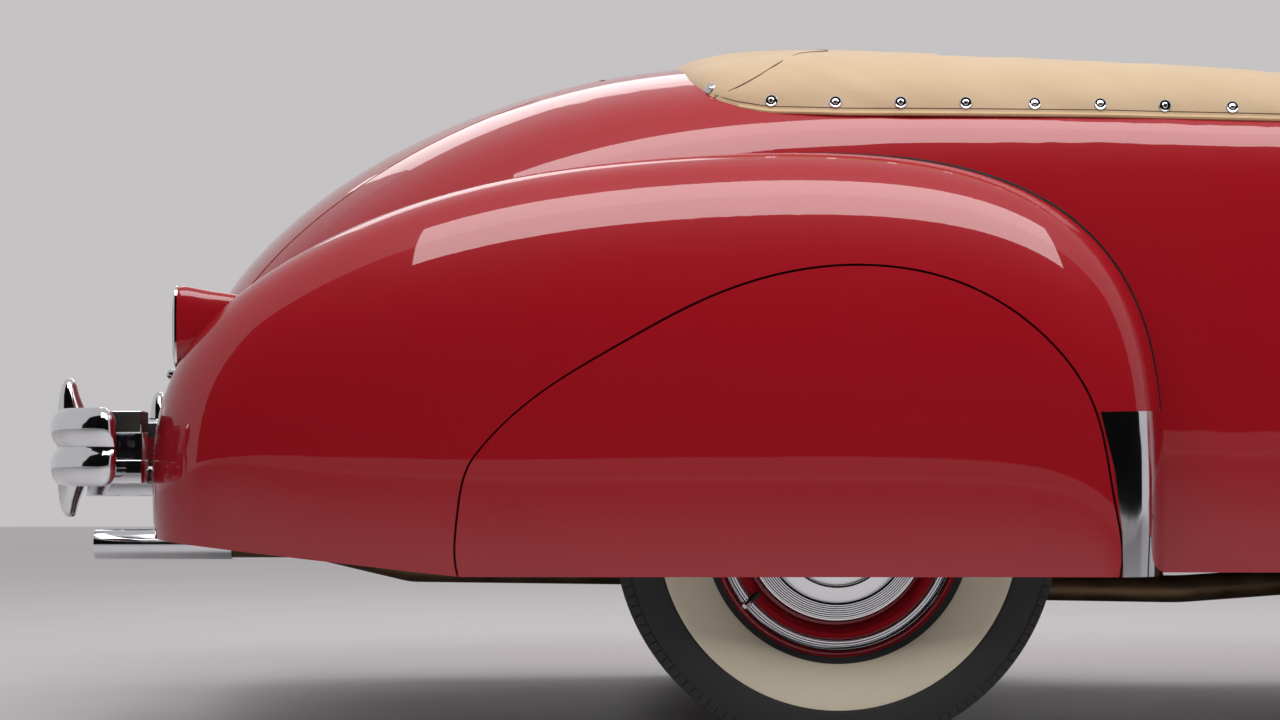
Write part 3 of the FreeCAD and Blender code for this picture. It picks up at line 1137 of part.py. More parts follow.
def rear_seat():
    """Rear bench between the wheelhouses."""
    floor = REAR_FLOOR_Z + FLOOR_THICK + SEAT_GAP
    cushion = rounded_box(190.0, 690.0, -520.0, 520.0, floor, 800.0, 40.0)
    back = rounded_box(60.0, 210.0, -560.0, 560.0, floor, 1105.0, 45.0)
    leg_half = RAIL_Y - RAIL_WIDTH / 2.0 - 14.0
    leg = box(600.0, 640.0, -leg_half, leg_half, FLOOR_Z + FLOOR_THICK + SEAT_GAP, 700.0)
    leg = leg.cut(box(590.0, 650.0, -TUNNEL_HALF - 1.0, TUNNEL_HALF + 1.0, 0.0, TUNNEL_TOP))
    return largest(cushion.fuse([back, leg]))


def dashboard():
    """Instrument panel under the scuttle, with the steering column."""
    panel = HULL_ROOM.common(box(1860.0, 1900.0, -640.0, 640.0, 830.0, 1150.0)).cut(COCKPIT)
    panel = panel.cut(box(1800.0, 1960.0, -700.0, 700.0, 1000.0, 1300.0))
    shelf = HULL_ROOM.common(box(1900.0, FIREWALL - TRIM_GAP, -640.0, 640.0, 830.0, 842.0))
    low = COLUMN_FOOT
    top = wheel_centre() - column_direction() * (28.0 + PIN_CLEARANCE)
    column = rod(low, top, 24.0)
    bracket = box(1870.0, 1900.0, STEERING_Y - 30.0, STEERING_Y + 30.0, 750.0, 832.0)
    return largest(panel.fuse([shelf, column, bracket]))


STEERING_Y = 370.0
STEERING_S = 1600.0
STEERING_Z = 985.0
STEERING_RADIUS = 215.0
COLUMN_FOOT = at(FIREWALL - 14.0, STEERING_Y, 606.0)


def wheel_centre():
    """Middle of the steering wheel."""
    return at(STEERING_S, STEERING_Y, STEERING_Z)


def column_direction():
    """Unit vector up the steering column, towards the driver."""
    return (wheel_centre() - COLUMN_FOOT).normalize()


def steering_wheel():
    """Steering wheel with three spokes, a hub and a horn button."""
    centre, axis = wheel_centre(), column_direction()
    rim = Part.makeTorus(STEERING_RADIUS, 12.0, centre, axis)
    hub = Part.makeCylinder(34.0, 44.0, centre - axis * 28.0, axis)
    across = V(0, 1, 0)
    upward = axis.cross(across)
    spokes = []
    for angle in (-20.0, 90.0 + 180.0, 200.0):
        turn = math.radians(angle)
        direction = across * math.cos(turn) + upward * math.sin(turn) * -1.0
        spokes.append(rod(centre - axis * 8.0 + direction * 20.0, centre + direction * (STEERING_RADIUS - 4.0), 8.0))
    return largest(rim.fuse([hub] + spokes))


# Boot over the folded top. Each row: crown station, crown height, edge station and half width.
BOOT_FLOOR = 1040.0
BOOT_ROWS = (
    (-290.0, 1040.0, -190.0, 600.0),
    (-294.0, 1180.0, -190.0, 625.0),
    (-284.0, 1258.0, -180.0, 655.0),
    (-225.0, 1290.0, -145.0, 690.0),
    (-100.0, 1303.0, -60.0, 718.0),
    (60.0, 1303.0, 60.0, 731.0),
    (300.0, 1291.0, 300.0, 739.0),
    (560.0, 1276.0, 560.0, 742.0),
    (800.0, 1258.0, 800.0, 740.0),
    (930.0, 1240.0, 930.0, 737.0),
    (982.0, 1180.0, 975.0, 735.0),
    (985.0, 1040.0, 978.0, 734.0),
)
BOOT_HEM = ((-360.0, 1225.0), (-290.0, 1200.0), (-228.0, 1148.0), (-170.0, 1122.0), (-109.0, 1109.0), (30.0, 1103.0),
            (478.0, 1098.0), (772.0, 1091.0), (1100.0, 1087.0))
BOOT_WELL = 205.0
BOOT_INNER = 590.0


def boot_cage(inset):
    """The cage of the boot, moved inwards by inset."""
    cage = []
    for crown_s, crown_z, edge_s, width in BOOT_ROWS:
        rise = crown_z - inset - BOOT_FLOOR if crown_z > BOOT_FLOOR else 0.0
        half = width - inset
        section = ((half, 0.0), (half, 0.25), (half - 6.0, 0.42), (half - 40.0, 0.60), (half - 120.0, 0.73),
                   (430.0, 0.86), (200.0, 0.97), (0.0, 1.0))
        left = [at(edge_s + (crown_s - edge_s) * fan, y, BOOT_FLOOR + rise * share)
                for (y, share), fan in zip(section, HULL_FAN)]
        right = [V(point.x, -point.y, point.z) for point in reversed(left[:-1])]
        cage.append(left + right)
    return cage


def top_boot():
    """Boot over the folded top: a closed form across the deck with an arm along each side of the rear seat."""
    hem = list(BOOT_HEM) + [(1100.0, 900.0), (-360.0, 900.0)]
    well = plan_prism(((BOOT_WELL, -BOOT_INNER), (1400.0, -BOOT_INNER), (1400.0, BOOT_INNER), (BOOT_WELL, BOOT_INNER)),
                      800.0, 1500.0)
    room = plan_prism(((COCKPIT_REAR - 10.0, -COCKPIT_HALF_WIDTH), (1200.0, -COCKPIT_HALF_WIDTH),
                       (1200.0, COCKPIT_HALF_WIDTH), (COCKPIT_REAR - 10.0, COCKPIT_HALF_WIDTH)), 900.0, 1112.0)
    solid = dome(boot_cage(0.0)).cut(HULL_SEATED.cut(COCKPIT)).cut(side_prism(hem, -900.0, 900.0))
    return largest(solid.cut(well).cut(room))


def build():
    """Every node of the car by name."""
    nodes = {
        "frame_rails": frame_rails(),
        "cross_members": cross_members(),
        "floor_pan": floor_pan(),
        "wheelhouses": wheelhouses(),
        "cowl": cowl(),
        "front_panel": front_panel(),
        "hood": hood(),
        "grille": grille(),
        "rear_deck": rear_deck(),
        "trunk_lid": trunk_lid(),
        "windscreen_frame": windscreen_frame(),
        "windscreen_glass": windscreen_glass(),
        "dashboard": dashboard(),
        "steering_wheel": steering_wheel(),
        "front_seat": front_seat(),
        "rear_seat": rear_seat(),
        "top_boot": top_boot(),
        "front_bumper": front_bumper(),
        "rear_bumper": rear_bumper(),
        "headlamps": headlamps(),
        "tail_lamps": tail_lamps(),
        "engine": engine(),
        "radiator": radiator(),
        "driveshaft": driveshaft(),
        "rear_axle": rear_axle(),
        "leaf_springs": leaf_springs(),
        "front_suspension": front_suspension(),
        "fuel_tank": fuel_tank(),
        "exhaust": exhaust(),
        "exhaust_tip": exhaust_tip(),
    }
    for name, side in SIDES:
        nodes["door_" + name] = door(side)
        nodes["quarter_panel_" + name] = quarter_panel(side)
        nodes["rear_fender_" + name] = rear_fender(side)
        nodes["fender_skirt_" + name] = fender_skirt(side)
        nodes["front_fender_" + name] = front_fender(side)
        nodes["knuckle_" + name] = knuckle(side)
        for place, axle in (("front", FRONT_AXLE_S), ("rear", 0.0)):
            rim = wheel(axle)
            nodes["tyre_" + place + "_" + name] = on_side(largest(tyre(axle).cut(rim)), side)
            nodes["wheel_" + place + "_" + name] = on_side(rim, side)
    nodes["stone_guards"] = Part.makeCompound([stone_guard(side) for _, side in SIDES])
    return nodes


def main():
    """Writes one STEP file for each node."""
    os.makedirs("parts", exist_ok=True)
    for name, shape in build().items():
        shape.exportStep("parts/" + name + ".step")
        print(name, len(shape.Solids), shape.isValid(), round(shape.Volume / 1e6, 3))


main()
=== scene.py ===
"""Looks of the classic convertible: enamel, chrome, canvas, leather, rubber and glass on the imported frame.

Units are metres in the frame of the CAD model: +X forward, +Y to the car's left, +Z up. A station s is the
distance ahead of the rear axle, and stations, heights and radii are given in millimetres. The painted skins
are the limit surfaces of the same control cages as the CAD model's, so each panel is a copy of its CAD node
whose outer faces are cut finer and laid on that surface.
"""
import enum
import json
import logging
import math
from dataclasses import dataclass
from typing import Iterable, Optional, Sequence

import bmesh
import bpy
from mathutils import Matrix, Vector, noise
from mathutils.bvhtree import BVHTree
from mathutils.interpolate import poly_3d_calc


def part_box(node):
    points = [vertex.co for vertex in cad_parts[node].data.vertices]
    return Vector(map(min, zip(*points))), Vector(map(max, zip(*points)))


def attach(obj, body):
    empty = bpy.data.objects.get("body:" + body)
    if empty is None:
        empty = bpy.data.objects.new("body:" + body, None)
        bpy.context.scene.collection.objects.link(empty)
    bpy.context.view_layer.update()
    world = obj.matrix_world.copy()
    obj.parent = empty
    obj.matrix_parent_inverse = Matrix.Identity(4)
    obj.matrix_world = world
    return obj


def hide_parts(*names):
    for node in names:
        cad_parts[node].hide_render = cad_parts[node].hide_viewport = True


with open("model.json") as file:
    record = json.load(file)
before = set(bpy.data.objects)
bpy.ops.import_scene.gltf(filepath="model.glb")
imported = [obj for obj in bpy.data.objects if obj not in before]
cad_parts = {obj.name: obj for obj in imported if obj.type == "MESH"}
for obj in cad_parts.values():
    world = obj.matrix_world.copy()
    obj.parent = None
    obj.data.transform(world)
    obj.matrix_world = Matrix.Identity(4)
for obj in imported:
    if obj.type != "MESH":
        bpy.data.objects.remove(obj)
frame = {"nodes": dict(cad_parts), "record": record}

LOG = logging.getLogger("convertible")
MM = 0.001
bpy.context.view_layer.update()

REAR_AXLE_X = sum(corner[0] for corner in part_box("wheel_rear_left")) / 2.0
WHEEL_Y = sum(corner[1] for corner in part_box("tyre_rear_left")) / 2.0


class Side(enum.Enum):
    """The car's two sides, each with the sign of its Y."""

    LEFT = 1.0
    RIGHT = -1.0

    @property
    def word(self) -> str:
        """The side's name as the nodes spell it."""
        return self.name.lower()


# ---- small tools ---------------------------------------------------------------------------------

def at(s: float, y: float, z: float) -> Vector:
    """A point in metres from its station, distance left of the centre line and height in millimetres."""
    return Vector((REAR_AXLE_X + s * MM, y * MM, z * MM))


def linear(colour: str) -> tuple[float, float, float, float]:
    """Turns an sRGB hex colour to the linear values that the shaders take.

    Args:
        colour: six hex digits, with or without a leading hash.

    Returns:
        Linear red, green and blue, with an alpha of one.
    """
    digits = colour.lstrip("#")
    channels = [int(digits[i:i + 2], 16) / 255.0 for i in (0, 2, 4)]
    values = [c / 12.92 if c <= 0.04045 else ((c + 0.055) / 1.055) ** 2.4 for c in channels]
    return (values[0], values[1], values[2], 1.0)


def new_object(name: str, mesh: bpy.types.Mesh) -> bpy.types.Object:
    """Puts a mesh in the scene under a name."""
    piece = bpy.data.objects.new(name, mesh)
    bpy.context.scene.collection.objects.link(piece)
    return piece


def finish_mesh(name: str, bm: bmesh.types.BMesh, finishes: Sequence[bpy.types.Material], smooth: float = 35.0
                ) -> bpy.types.Object:
    """Makes a piece of a bmesh: merged, facing outwards, shaded smooth below an angle.

    Args:
        name: the piece's name.
        bm: the shape, which is freed.
        finishes: the piece's materials in the order of its faces' indices.
        smooth: the sharpest angle in degrees that is still shaded smooth.

    Returns:
        The new object.
    """
    bmesh.ops.remove_doubles(bm, verts=bm.verts, dist=1e-6)
    bmesh.ops.recalc_face_normals(bm, faces=bm.faces)
    mesh = bpy.data.meshes.new(name)
    bm.to_mesh(mesh)
    bm.free()
    mesh.polygons.foreach_set("use_smooth", [True] * len(mesh.polygons))
    mesh.set_sharp_from_angle(angle=math.radians(smooth))
    for finish in finishes:
        mesh.materials.append(finish)
    return new_object(name, mesh)


def add_node(tree: bpy.types.NodeTree, kind: str, settings: Optional[dict] = None,
             links: Optional[dict] = None) -> bpy.types.Node:
    """Adds a node with its settings and links.

    Args:
        tree: the node tree.
        kind: the node's type, such as ShaderNodeMath.
        settings: attributes by name, and input values by socket name or number.
        links: output sockets by the input's name or number.

    Returns:
        The new node.
    """
    node = tree.nodes.new(kind)
    for key, value in (settings or {}).items():
        if isinstance(key, int) or key in node.inputs:
            node.inputs[key].default_value = value
        else:
            setattr(node, key, value)
    for key, output in (links or {}).items():
        tree.links.new(output, node.inputs[key])
    return node


# ---- finishes ------------------------------------------------------------------------------------

@dataclass(frozen=True)
class Finish:
    """A surface finish on a Principled shader, with two colours mixed by noise and a fine bump."""

    name: str
    colour: str
    second: str
    metallic: float = 0.0
    roughness: float = 0.5
    rough_spread: float = 0.05
    ior: float = 1.5
    specular: float = 0.5
    coat: float = 0.0
    coat_ior: float = 1.5
    coat_roughness: float = 0.03
    sheen: float = 0.0
    transmission: float = 0.0
    grain_mm: float = 40.0
    bump_mm: float = 0.0
    bump_depth_mm: float = 0.0

    def material(self) -> bpy.types.Material:
        """Builds the finish's node tree.

        Returns:
            The material, made once for each name.
        """
        known = bpy.data.materials.get(self.name)
        if known:
            return known
        made = bpy.data.materials.new(self.name)
        made.use_nodes = True
        tree = made.node_tree
        tree.nodes.clear()
        place = add_node(tree, "ShaderNodeTexCoord")
        mottle = add_node(tree, "ShaderNodeTexNoise", {"Scale": 1.0 / (self.grain_mm * MM), "Detail": 3.0},
                         {"Vector": place.outputs["Object"]})
        blend = add_node(tree, "ShaderNodeMix",
                         {"data_type": "RGBA", 6: linear(self.colour), 7: linear(self.second)},
                         {0: mottle.outputs["Fac"]})
        smoothest = max(self.roughness - self.rough_spread, 0.0)
        rough = add_node(tree, "ShaderNodeMapRange",
                         {"From Min": 0.3, "From Max": 0.7, "To Min": smoothest,
                          "To Max": self.roughness + self.rough_spread}, {"Value": mottle.outputs["Fac"]})
        shader = add_node(tree, "ShaderNodeBsdfPrincipled", {
            "Metallic": self.metallic, "IOR": self.ior, "Coat Weight": self.coat, "Coat IOR": self.coat_ior,
            "Coat Roughness": self.coat_roughness, "Specular IOR Level": self.specular,
            "Sheen Weight": self.sheen, "Transmission Weight": self.transmission},
            {"Base Color": blend.outputs[2], "Roughness": rough.outputs["Result"]})
        if self.bump_depth_mm > 0.0:
            grain = add_node(tree, "ShaderNodeTexNoise", {"Scale": 1.0 / (self.bump_mm * MM), "Detail": 2.0},
                             {"Vector": place.outputs["Object"]})
            bump = add_node(tree, "ShaderNodeBump", {"Distance": self.bump_depth_mm * MM, "Strength": 1.0},
                            {"Height": grain.outputs["Fac"]})
            tree.links.new(bump.outputs["Normal"], shader.inputs["Normal"])
        self.detail(tree, place, shader)
        output = add_node(tree, "ShaderNodeOutputMaterial")
        tree.links.new(shader.outputs["BSDF"], output.inputs["Surface"])
        return made

    def detail(self, tree: bpy.types.NodeTree, place: bpy.types.Node, shader: bpy.types.Node) -> None:
        """Adds what only this kind of finish has; the plain finish adds nothing."""


@dataclass(frozen=True)
class WovenFinish(Finish):
    """Woven cloth: two crossed sets of threads that raise and shade the surface."""

    thread_mm: float = 3.0      # coarser than real canvas, so that the weave shows at the size it is seen
    thread_depth_mm: float = 0.25

    def detail(self, tree: bpy.types.NodeTree, place: bpy.types.Node, shader: bpy.types.Node) -> None:
        """Adds the threads' bump."""
        waves = []
        for direction in ("X", "Y"):
            waves.append(add_node(tree, "ShaderNodeTexWave",
                                  {"wave_type": "BANDS", "bands_direction": direction,
                                   "Scale": 1.0 / (self.thread_mm * MM) / 20.0, "Distortion": 0.4,
                                   "Detail": 1.0},
                                  {"Vector": place.outputs["Object"]}))
        crossed = add_node(tree, "ShaderNodeMath", {"operation": "MULTIPLY"},
                           {0: waves[0].outputs["Fac"], 1: waves[1].outputs["Fac"]})
        bump = add_node(tree, "ShaderNodeBump", {"Distance": self.thread_depth_mm * MM, "Strength": 0.6},
                        {"Height": crossed.outputs[0]})
        tree.links.new(bump.outputs["Normal"], shader.inputs["Normal"])


# Two-stage enamel under clear lacquer: deep, even colour and a sharp reflection.
ENAMEL = Finish("red_enamel", "#A30A1B", "#9B0919", roughness=0.45, rough_spread=0.04, specular=0.15,
                coat=1.0, coat_ior=1.6, coat_roughness=0.02, grain_mm=300.0)
# Electroplated chrome on steel: a mirror with a cool grey cast.
CHROME = Finish("polished_chrome", "#E4E5E8", "#D6D8DC", metallic=1.0, roughness=0.06, rough_spread=0.02,
                grain_mm=60.0)
# Satin black chassis enamel with road dust.
CHASSIS = Finish("chassis_enamel", "#161514", "#2B2723", roughness=0.55, rough_spread=0.12, grain_mm=50.0,
                 bump_mm=3.0, bump_depth_mm=0.1)
# Heat-browned exhaust steel: dull, blotched brown.
EXHAUST_STEEL = Finish("heat_browned_steel", "#54402F", "#7E6850", metallic=0.8, roughness=0.45,
                       rough_spread=0.12, grain_mm=60.0, bump_mm=4.0, bump_depth_mm=0.1)
# Cotton canvas, woven and proofed: matt tan with a soft edge of light.
CANVAS = WovenFinish("tan_canvas", "#CBB191", "#C1A685", roughness=0.9, sheen=0.2, grain_mm=120.0)
# Bound canvas edge: the same cloth, pulled smooth and a little paler.
BINDING = Finish("canvas_binding", "#D3B48C", "#C8A980", roughness=0.85, sheen=0.2, grain_mm=30.0)
# Waxed brown thread, dull and sunk in the cloth.
THREAD = Finish("brown_thread", "#6A4A30", "#5C3F28", roughness=0.8, grain_mm=10.0)
# Vat-dyed upholstery hide: satin tan with a fine grain.
LEATHER = Finish("tan_leather", "#8A5A38", "#7A4D2E", roughness=0.42, rough_spread=0.08, grain_mm=80.0,
                 bump_mm=2.5, bump_depth_mm=0.12, sheen=0.1)
# Carbon-black tyre rubber.
RUBBER = Finish("tyre_rubber", "#1B1B1B", "#282726", roughness=0.68, rough_spread=0.08, grain_mm=30.0,
                bump_mm=2.0, bump_depth_mm=0.08)
# White tyre rubber: slightly cream, very smooth.
WHITE_RUBBER = Finish("white_rubber", "#E3D9C2", "#DACFB6", roughness=0.5, rough_spread=0.05, grain_mm=90.0)
# Toughened flat glass, almost clear.
GLASS = Finish("clear_glass", "#FFFFFF", "#F8FCFA", roughness=0.02, rough_spread=0.01, ior=1.5,
               transmission=1.0)
# Cellulose acetate steering wheel: glossy ivory.
IVORY = Finish("ivory_plastic", "#D9CBA6", "#CFC09A", roughness=0.25, coat=0.4, grain_mm=50.0)
# Engine enamel: semi-gloss green.
ENGINE_PAINT = Finish("engine_enamel", "#2F4636", "#263A2D", roughness=0.45, grain_mm=60.0)
# Ruby pressed-glass lens.
RUBY = Finish("ruby_glass", "#B00A12", "#9C060E", roughness=0.08, rough_spread=0.02, ior=1.5, coat=0.6,
              transmission=0.25)
# Extruded rubber welting: satin black.
WELTING = Finish("black_welting", "#0B0B0C", "#121213", roughness=0.35, rough_spread=0.05, grain_mm=40.0)
# Cut-pile wool carpet.
CARPET = Finish("wool_carpet", "#6A4C38", "#5C4030", roughness=0.95, sheen=0.4, grain_mm=20.0, bump_mm=2.0,
                bump_depth_mm=0.5)
# Instrument faces: satin cream enamel.
DIAL = Finish("dial_enamel", "#D8D0B8", "#CFC6AC", roughness=0.4, grain_mm=20.0)


# ---- shapes --------------------------------------------------------------------------------------

class Shape:
    """A piece in the making: parts are added one by one, each with its finish."""

    def __init__(self, name: str, finishes: Sequence[Finish]) -> None:
        """Starts an empty piece with the finishes it may use."""
        self.name = name
        self.finishes = finishes
        self.bm = bmesh.new()

    def paint(self, first: int, finish: Finish) -> None:
        """Gives the faces added since the first one a finish."""
        self.bm.faces.ensure_lookup_table()
        index = self.finishes.index(finish)
        for face in self.bm.faces[first:]:
            face.material_index = index

    def loft(self, rings: Sequence[Sequence[Vector]], finish: Finish) -> None:
        """Bridges rings that have as many points each, and closes both ends.

        Args:
            rings: the rings' points, in order along the part.
            finish: the part's finish.
        """
        first = len(self.bm.faces)
        last = None
        for ring in rings:
            made = bmesh.ops.create_circle(self.bm, cap_ends=False, segments=len(ring), radius=1.0)["verts"]
            for vert, point in zip(made, ring):
                vert.co = point
            edges = list({edge for vert in made for edge in vert.link_edges})
            if last is None:
                bmesh.ops.contextual_create(self.bm, geom=edges)
            else:
                bmesh.ops.bridge_loops(self.bm, edges=last + edges)
            last = edges
        bmesh.ops.contextual_create(self.bm, geom=last)
        self.paint(first, finish)

    def turned(self, section: Sequence[tuple[float, float]], centre: Vector, axis: Vector, steps: int,
               finish: Finish) -> None:
        """Turns a section about an axis.

        Args:
            section: (radius, distance along the axis) corners in millimetres.
            centre: where the axis has distance zero.
            axis: the axis' direction.
            steps: how many facets a turn has.
            finish: the part's finish.
        """
        first = len(self.bm.faces)
        axis = axis.normalized()
        across = axis.orthogonal().normalized()
        verts = [self.bm.verts.new(centre + axis * (along * MM) + across * (radius * MM))
                 for radius, along in section]
        edges = [self.bm.edges.new(pair) for pair in zip(verts, verts[1:])]
        bmesh.ops.spin(self.bm, geom=verts + edges, cent=centre, axis=axis, angle=2.0 * math.pi, steps=steps,
                       use_merge=True)
        self.paint(first, finish)

    def rod(self, start: Vector, end: Vector, radius: float, finish: Finish,
            end_radius: Optional[float] = None, steps: int = 24) -> None:
        """Adds a round rod or cone between two points, its radii in millimetres."""
        way = end - start
        turn = Vector((0.0, 0.0, 1.0)).rotation_difference(way).to_matrix().to_4x4()
        place = Matrix.Translation((start + end) / 2.0) @ turn
        first = len(self.bm.faces)
        bmesh.ops.create_cone(self.bm, cap_ends=True, segments=steps, radius1=radius * MM,
                              radius2=(radius if end_radius is None else end_radius) * MM, depth=way.length,
                              matrix=place)
        self.paint(first, finish)

    def block(self, low: Vector, high: Vector, finish: Finish, bevel: float = 0.0) -> None:
        """Adds a block between two corners, its edges rounded by a radius in millimetres."""
        first = len(self.bm.faces)
        size = high - low
        place = Matrix.Translation((low + high) / 2.0) @ Matrix.Diagonal((*size, 1.0))
        made = bmesh.ops.create_cube(self.bm, size=1.0, matrix=place)["verts"]
        if bevel > 0.0:
            edges = list({edge for vert in made for edge in vert.link_edges})
            bmesh.ops.bevel(self.bm, geom=edges, offset=bevel * MM, segments=3, profile=0.5, affect="EDGES",
                            material=-1)
        self.paint(first, finish)

    def done(self, smooth: float = 35.0) -> bpy.types.Object:
        """Makes the object."""
        return finish_mesh(self.name, self.bm, [finish.material() for finish in self.finishes], smooth)


def smooth_line(points: Sequence[Vector], count: int) -> list[Vector]:
    """A curve through points, sampled evenly between each two of them."""
    padded = [points[0] * 2.0 - points[1], *points, points[-1] * 2.0 - points[-2]]
    line = []
    for before, here, there, after in zip(padded, padded[1:], padded[2:], padded[3:]):
        for step in range(count):
            u = step / count
            line.append(0.5 * (2.0 * here + (there - before) * u
                               + (2.0 * before - 5.0 * here + 4.0 * there - after) * u * u
                               + (3.0 * here - before - 3.0 * there + after) * u * u * u))
    line.append(points[-1].copy())
    return line


def tube_rings(line: Sequence[Vector], radius: float, steps: int = 10) -> list[list[Vector]]:
    """Rings of a tube of a radius in millimetres along a line."""
    rings = []
    side = None
    for index, point in enumerate(line):
        ahead = line[min(index + 1, len(line) - 1)] - line[max(index - 1, 0)]
        ahead.normalize()
        if side is None:
            side = ahead.orthogonal()
        side = (side - ahead * side.dot(ahead)).normalized()
        other = ahead.cross(side)
        rings.append([point + (side * math.cos(turn) + other * math.sin(turn)) * (radius * MM)
                      for turn in (2.0 * math.pi * k / steps for k in range(steps))])
    return rings


# ---- painted skins -------------------------------------------------------------------------------

HULL_FAN = (0.0, 0.18, 0.36, 0.55, 0.75, 0.90, 0.98, 1.0)
FENDER_FAN = (0.0, 0.16, 0.36, 0.60, 0.86, 1.0, 0.92, 0.74, 0.40, 0.0)
CAGE_FLOOR = 150.0
# Rows of the body's cage: crown station and height, edge station, half width, and the belt's height and width
# as shares.
HULL_ROWS = (
    (-1190.0, 150.0, -900.0, 600.0, 0.80, 0.90), (-1216.0, 400.0, -880.0, 625.0, 0.80, 0.90),
    (-1212.0, 610.0, -850.0, 645.0, 0.80, 0.90), (-1165.0, 795.0, -800.0, 665.0, 0.80, 0.90),
    (-1050.0, 935.0, -740.0, 690.0, 0.81, 0.91), (-880.0, 1068.0, -650.0, 715.0, 0.82, 0.92),
    (-640.0, 1182.0, -520.0, 740.0, 0.83, 0.93), (-380.0, 1254.0, -330.0, 758.0, 0.84, 0.94),
    (-80.0, 1272.0, -80.0, 770.0, 0.86, 0.95), (300.0, 1240.0, 300.0, 779.0, 0.885, 0.965),
    (900.0, 1195.0, 900.0, 785.0, 0.905, 0.975), (1500.0, 1172.0, 1500.0, 781.0, 0.905, 0.975),
    (2000.0, 1172.0, 2000.0, 742.0, 0.88, 0.96), (2350.0, 1160.0, 2350.0, 640.0, 0.85, 0.92),
    (2800.0, 1142.0, 2800.0, 520.0, 0.82, 0.88), (3250.0, 1110.0, 3250.0, 425.0, 0.81, 0.84),
    (3560.0, 1066.0, 3520.0, 360.0, 0.80, 0.82), (3740.0, 1000.0, 3620.0, 305.0, 0.80, 0.82),
    (3835.0, 850.0, 3680.0, 262.0, 0.80, 0.82), (3868.0, 620.0, 3715.0, 238.0, 0.80, 0.82),
    (3868.0, 380.0, 3725.0, 226.0, 0.80, 0.82), (3850.0, 150.0, 3725.0, 222.0, 0.80, 0.82),
)
# Rows of a fender's cage: crown station and height, edge station, outer, crown and inner distances from the
# centre line, and the inner shoulder's height as a share.
REAR_FENDER_ROWS = (
    (-1165.0, 150.0, -990.0, 835.0, 700.0, 500.0, 0.80), (-1196.0, 370.0, -975.0, 860.0, 704.0, 500.0, 0.80),
    (-1200.0, 535.0, -955.0, 880.0, 708.0, 500.0, 0.80), (-1168.0, 668.0, -920.0, 900.0, 712.0, 500.0, 0.80),
    (-1085.0, 775.0, -860.0, 918.0, 718.0, 505.0, 0.80), (-950.0, 872.0, -770.0, 934.0, 724.0, 515.0, 0.82),
    (-765.0, 956.0, -650.0, 948.0, 732.0, 530.0, 0.86), (-545.0, 1012.0, -495.0, 956.0, 742.0, 550.0, 0.90),
    (-300.0, 1038.0, -290.0, 959.0, 754.0, 570.0, 0.94), (-50.0, 1046.0, -50.0, 960.0, 764.0, 590.0, 0.96),
    (175.0, 1030.0, 140.0, 960.0, 772.0, 590.0, 0.97), (350.0, 975.0, 275.0, 958.0, 777.0, 590.0, 0.97),
    (470.0, 880.0, 355.0, 957.0, 780.0, 590.0, 0.97), (542.0, 750.0, 395.0, 956.0, 782.0, 590.0, 0.97),
    (568.0, 590.0, 410.0, 954.0, 783.0, 590.0, 0.97), (570.0, 400.0, 412.0, 952.0, 783.0, 590.0, 0.97),
    (560.0, 150.0, 412.0, 948.0, 783.0, 590.0, 0.97),
)
FRONT_FENDER_ROWS = (
    (2030.0, 150.0, 2200.0, 815.0, 740.0, 560.0, 0.95), (2020.0, 400.0, 2210.0, 830.0, 740.0, 560.0, 0.95),
    (2032.0, 560.0, 2230.0, 850.0, 740.0, 550.0, 0.95), (2095.0, 690.0, 2275.0, 872.0, 738.0, 540.0, 0.94),
    (2230.0, 790.0, 2360.0, 898.0, 734.0, 510.0, 0.92), (2440.0, 872.0, 2510.0, 924.0, 727.0, 460.0, 0.89),
    (2720.0, 940.0, 2740.0, 944.0, 716.0, 390.0, 0.85), (3000.0, 982.0, 3000.0, 955.0, 704.0, 330.0, 0.82),
    (3260.0, 994.0, 3250.0, 958.0, 692.0, 280.0, 0.80), (3500.0, 974.0, 3460.0, 955.0, 680.0, 240.0, 0.78),
    (3700.0, 916.0, 3600.0, 946.0, 668.0, 210.0, 0.76), (3860.0, 820.0, 3680.0, 932.0, 656.0, 190.0, 0.74),
    (3962.0, 690.0, 3720.0, 916.0, 648.0, 180.0, 0.74), (3998.0, 530.0, 3730.0, 902.0, 642.0, 175.0, 0.76),
    (3990.0, 360.0, 3730.0, 892.0, 640.0, 175.0, 0.80), (3960.0, 150.0, 3720.0, 880.0, 638.0, 175.0, 0.85),
)
BOOT_FLOOR = 1040.0
BOOT_ROWS = (
    (-290.0, 1040.0, -190.0, 600.0), (-294.0, 1180.0, -190.0, 625.0), (-284.0, 1258.0, -180.0, 655.0),
    (-225.0, 1290.0, -145.0, 690.0), (-100.0, 1303.0, -60.0, 718.0), (60.0, 1303.0, 60.0, 731.0),
    (300.0, 1291.0, 300.0, 739.0), (560.0, 1276.0, 560.0, 742.0), (800.0, 1258.0, 800.0, 740.0),
    (930.0, 1240.0, 930.0, 737.0), (982.0, 1180.0, 975.0, 735.0), (985.0, 1040.0, 978.0, 734.0),
)


def mirrored_row(left: list[Vector]) -> list[Vector]:
    """A row from the left edge to the centre line, carried on to the right edge."""
    return left + [Vector((point.x, -point.y, point.z)) for point in reversed(left[:-1])]


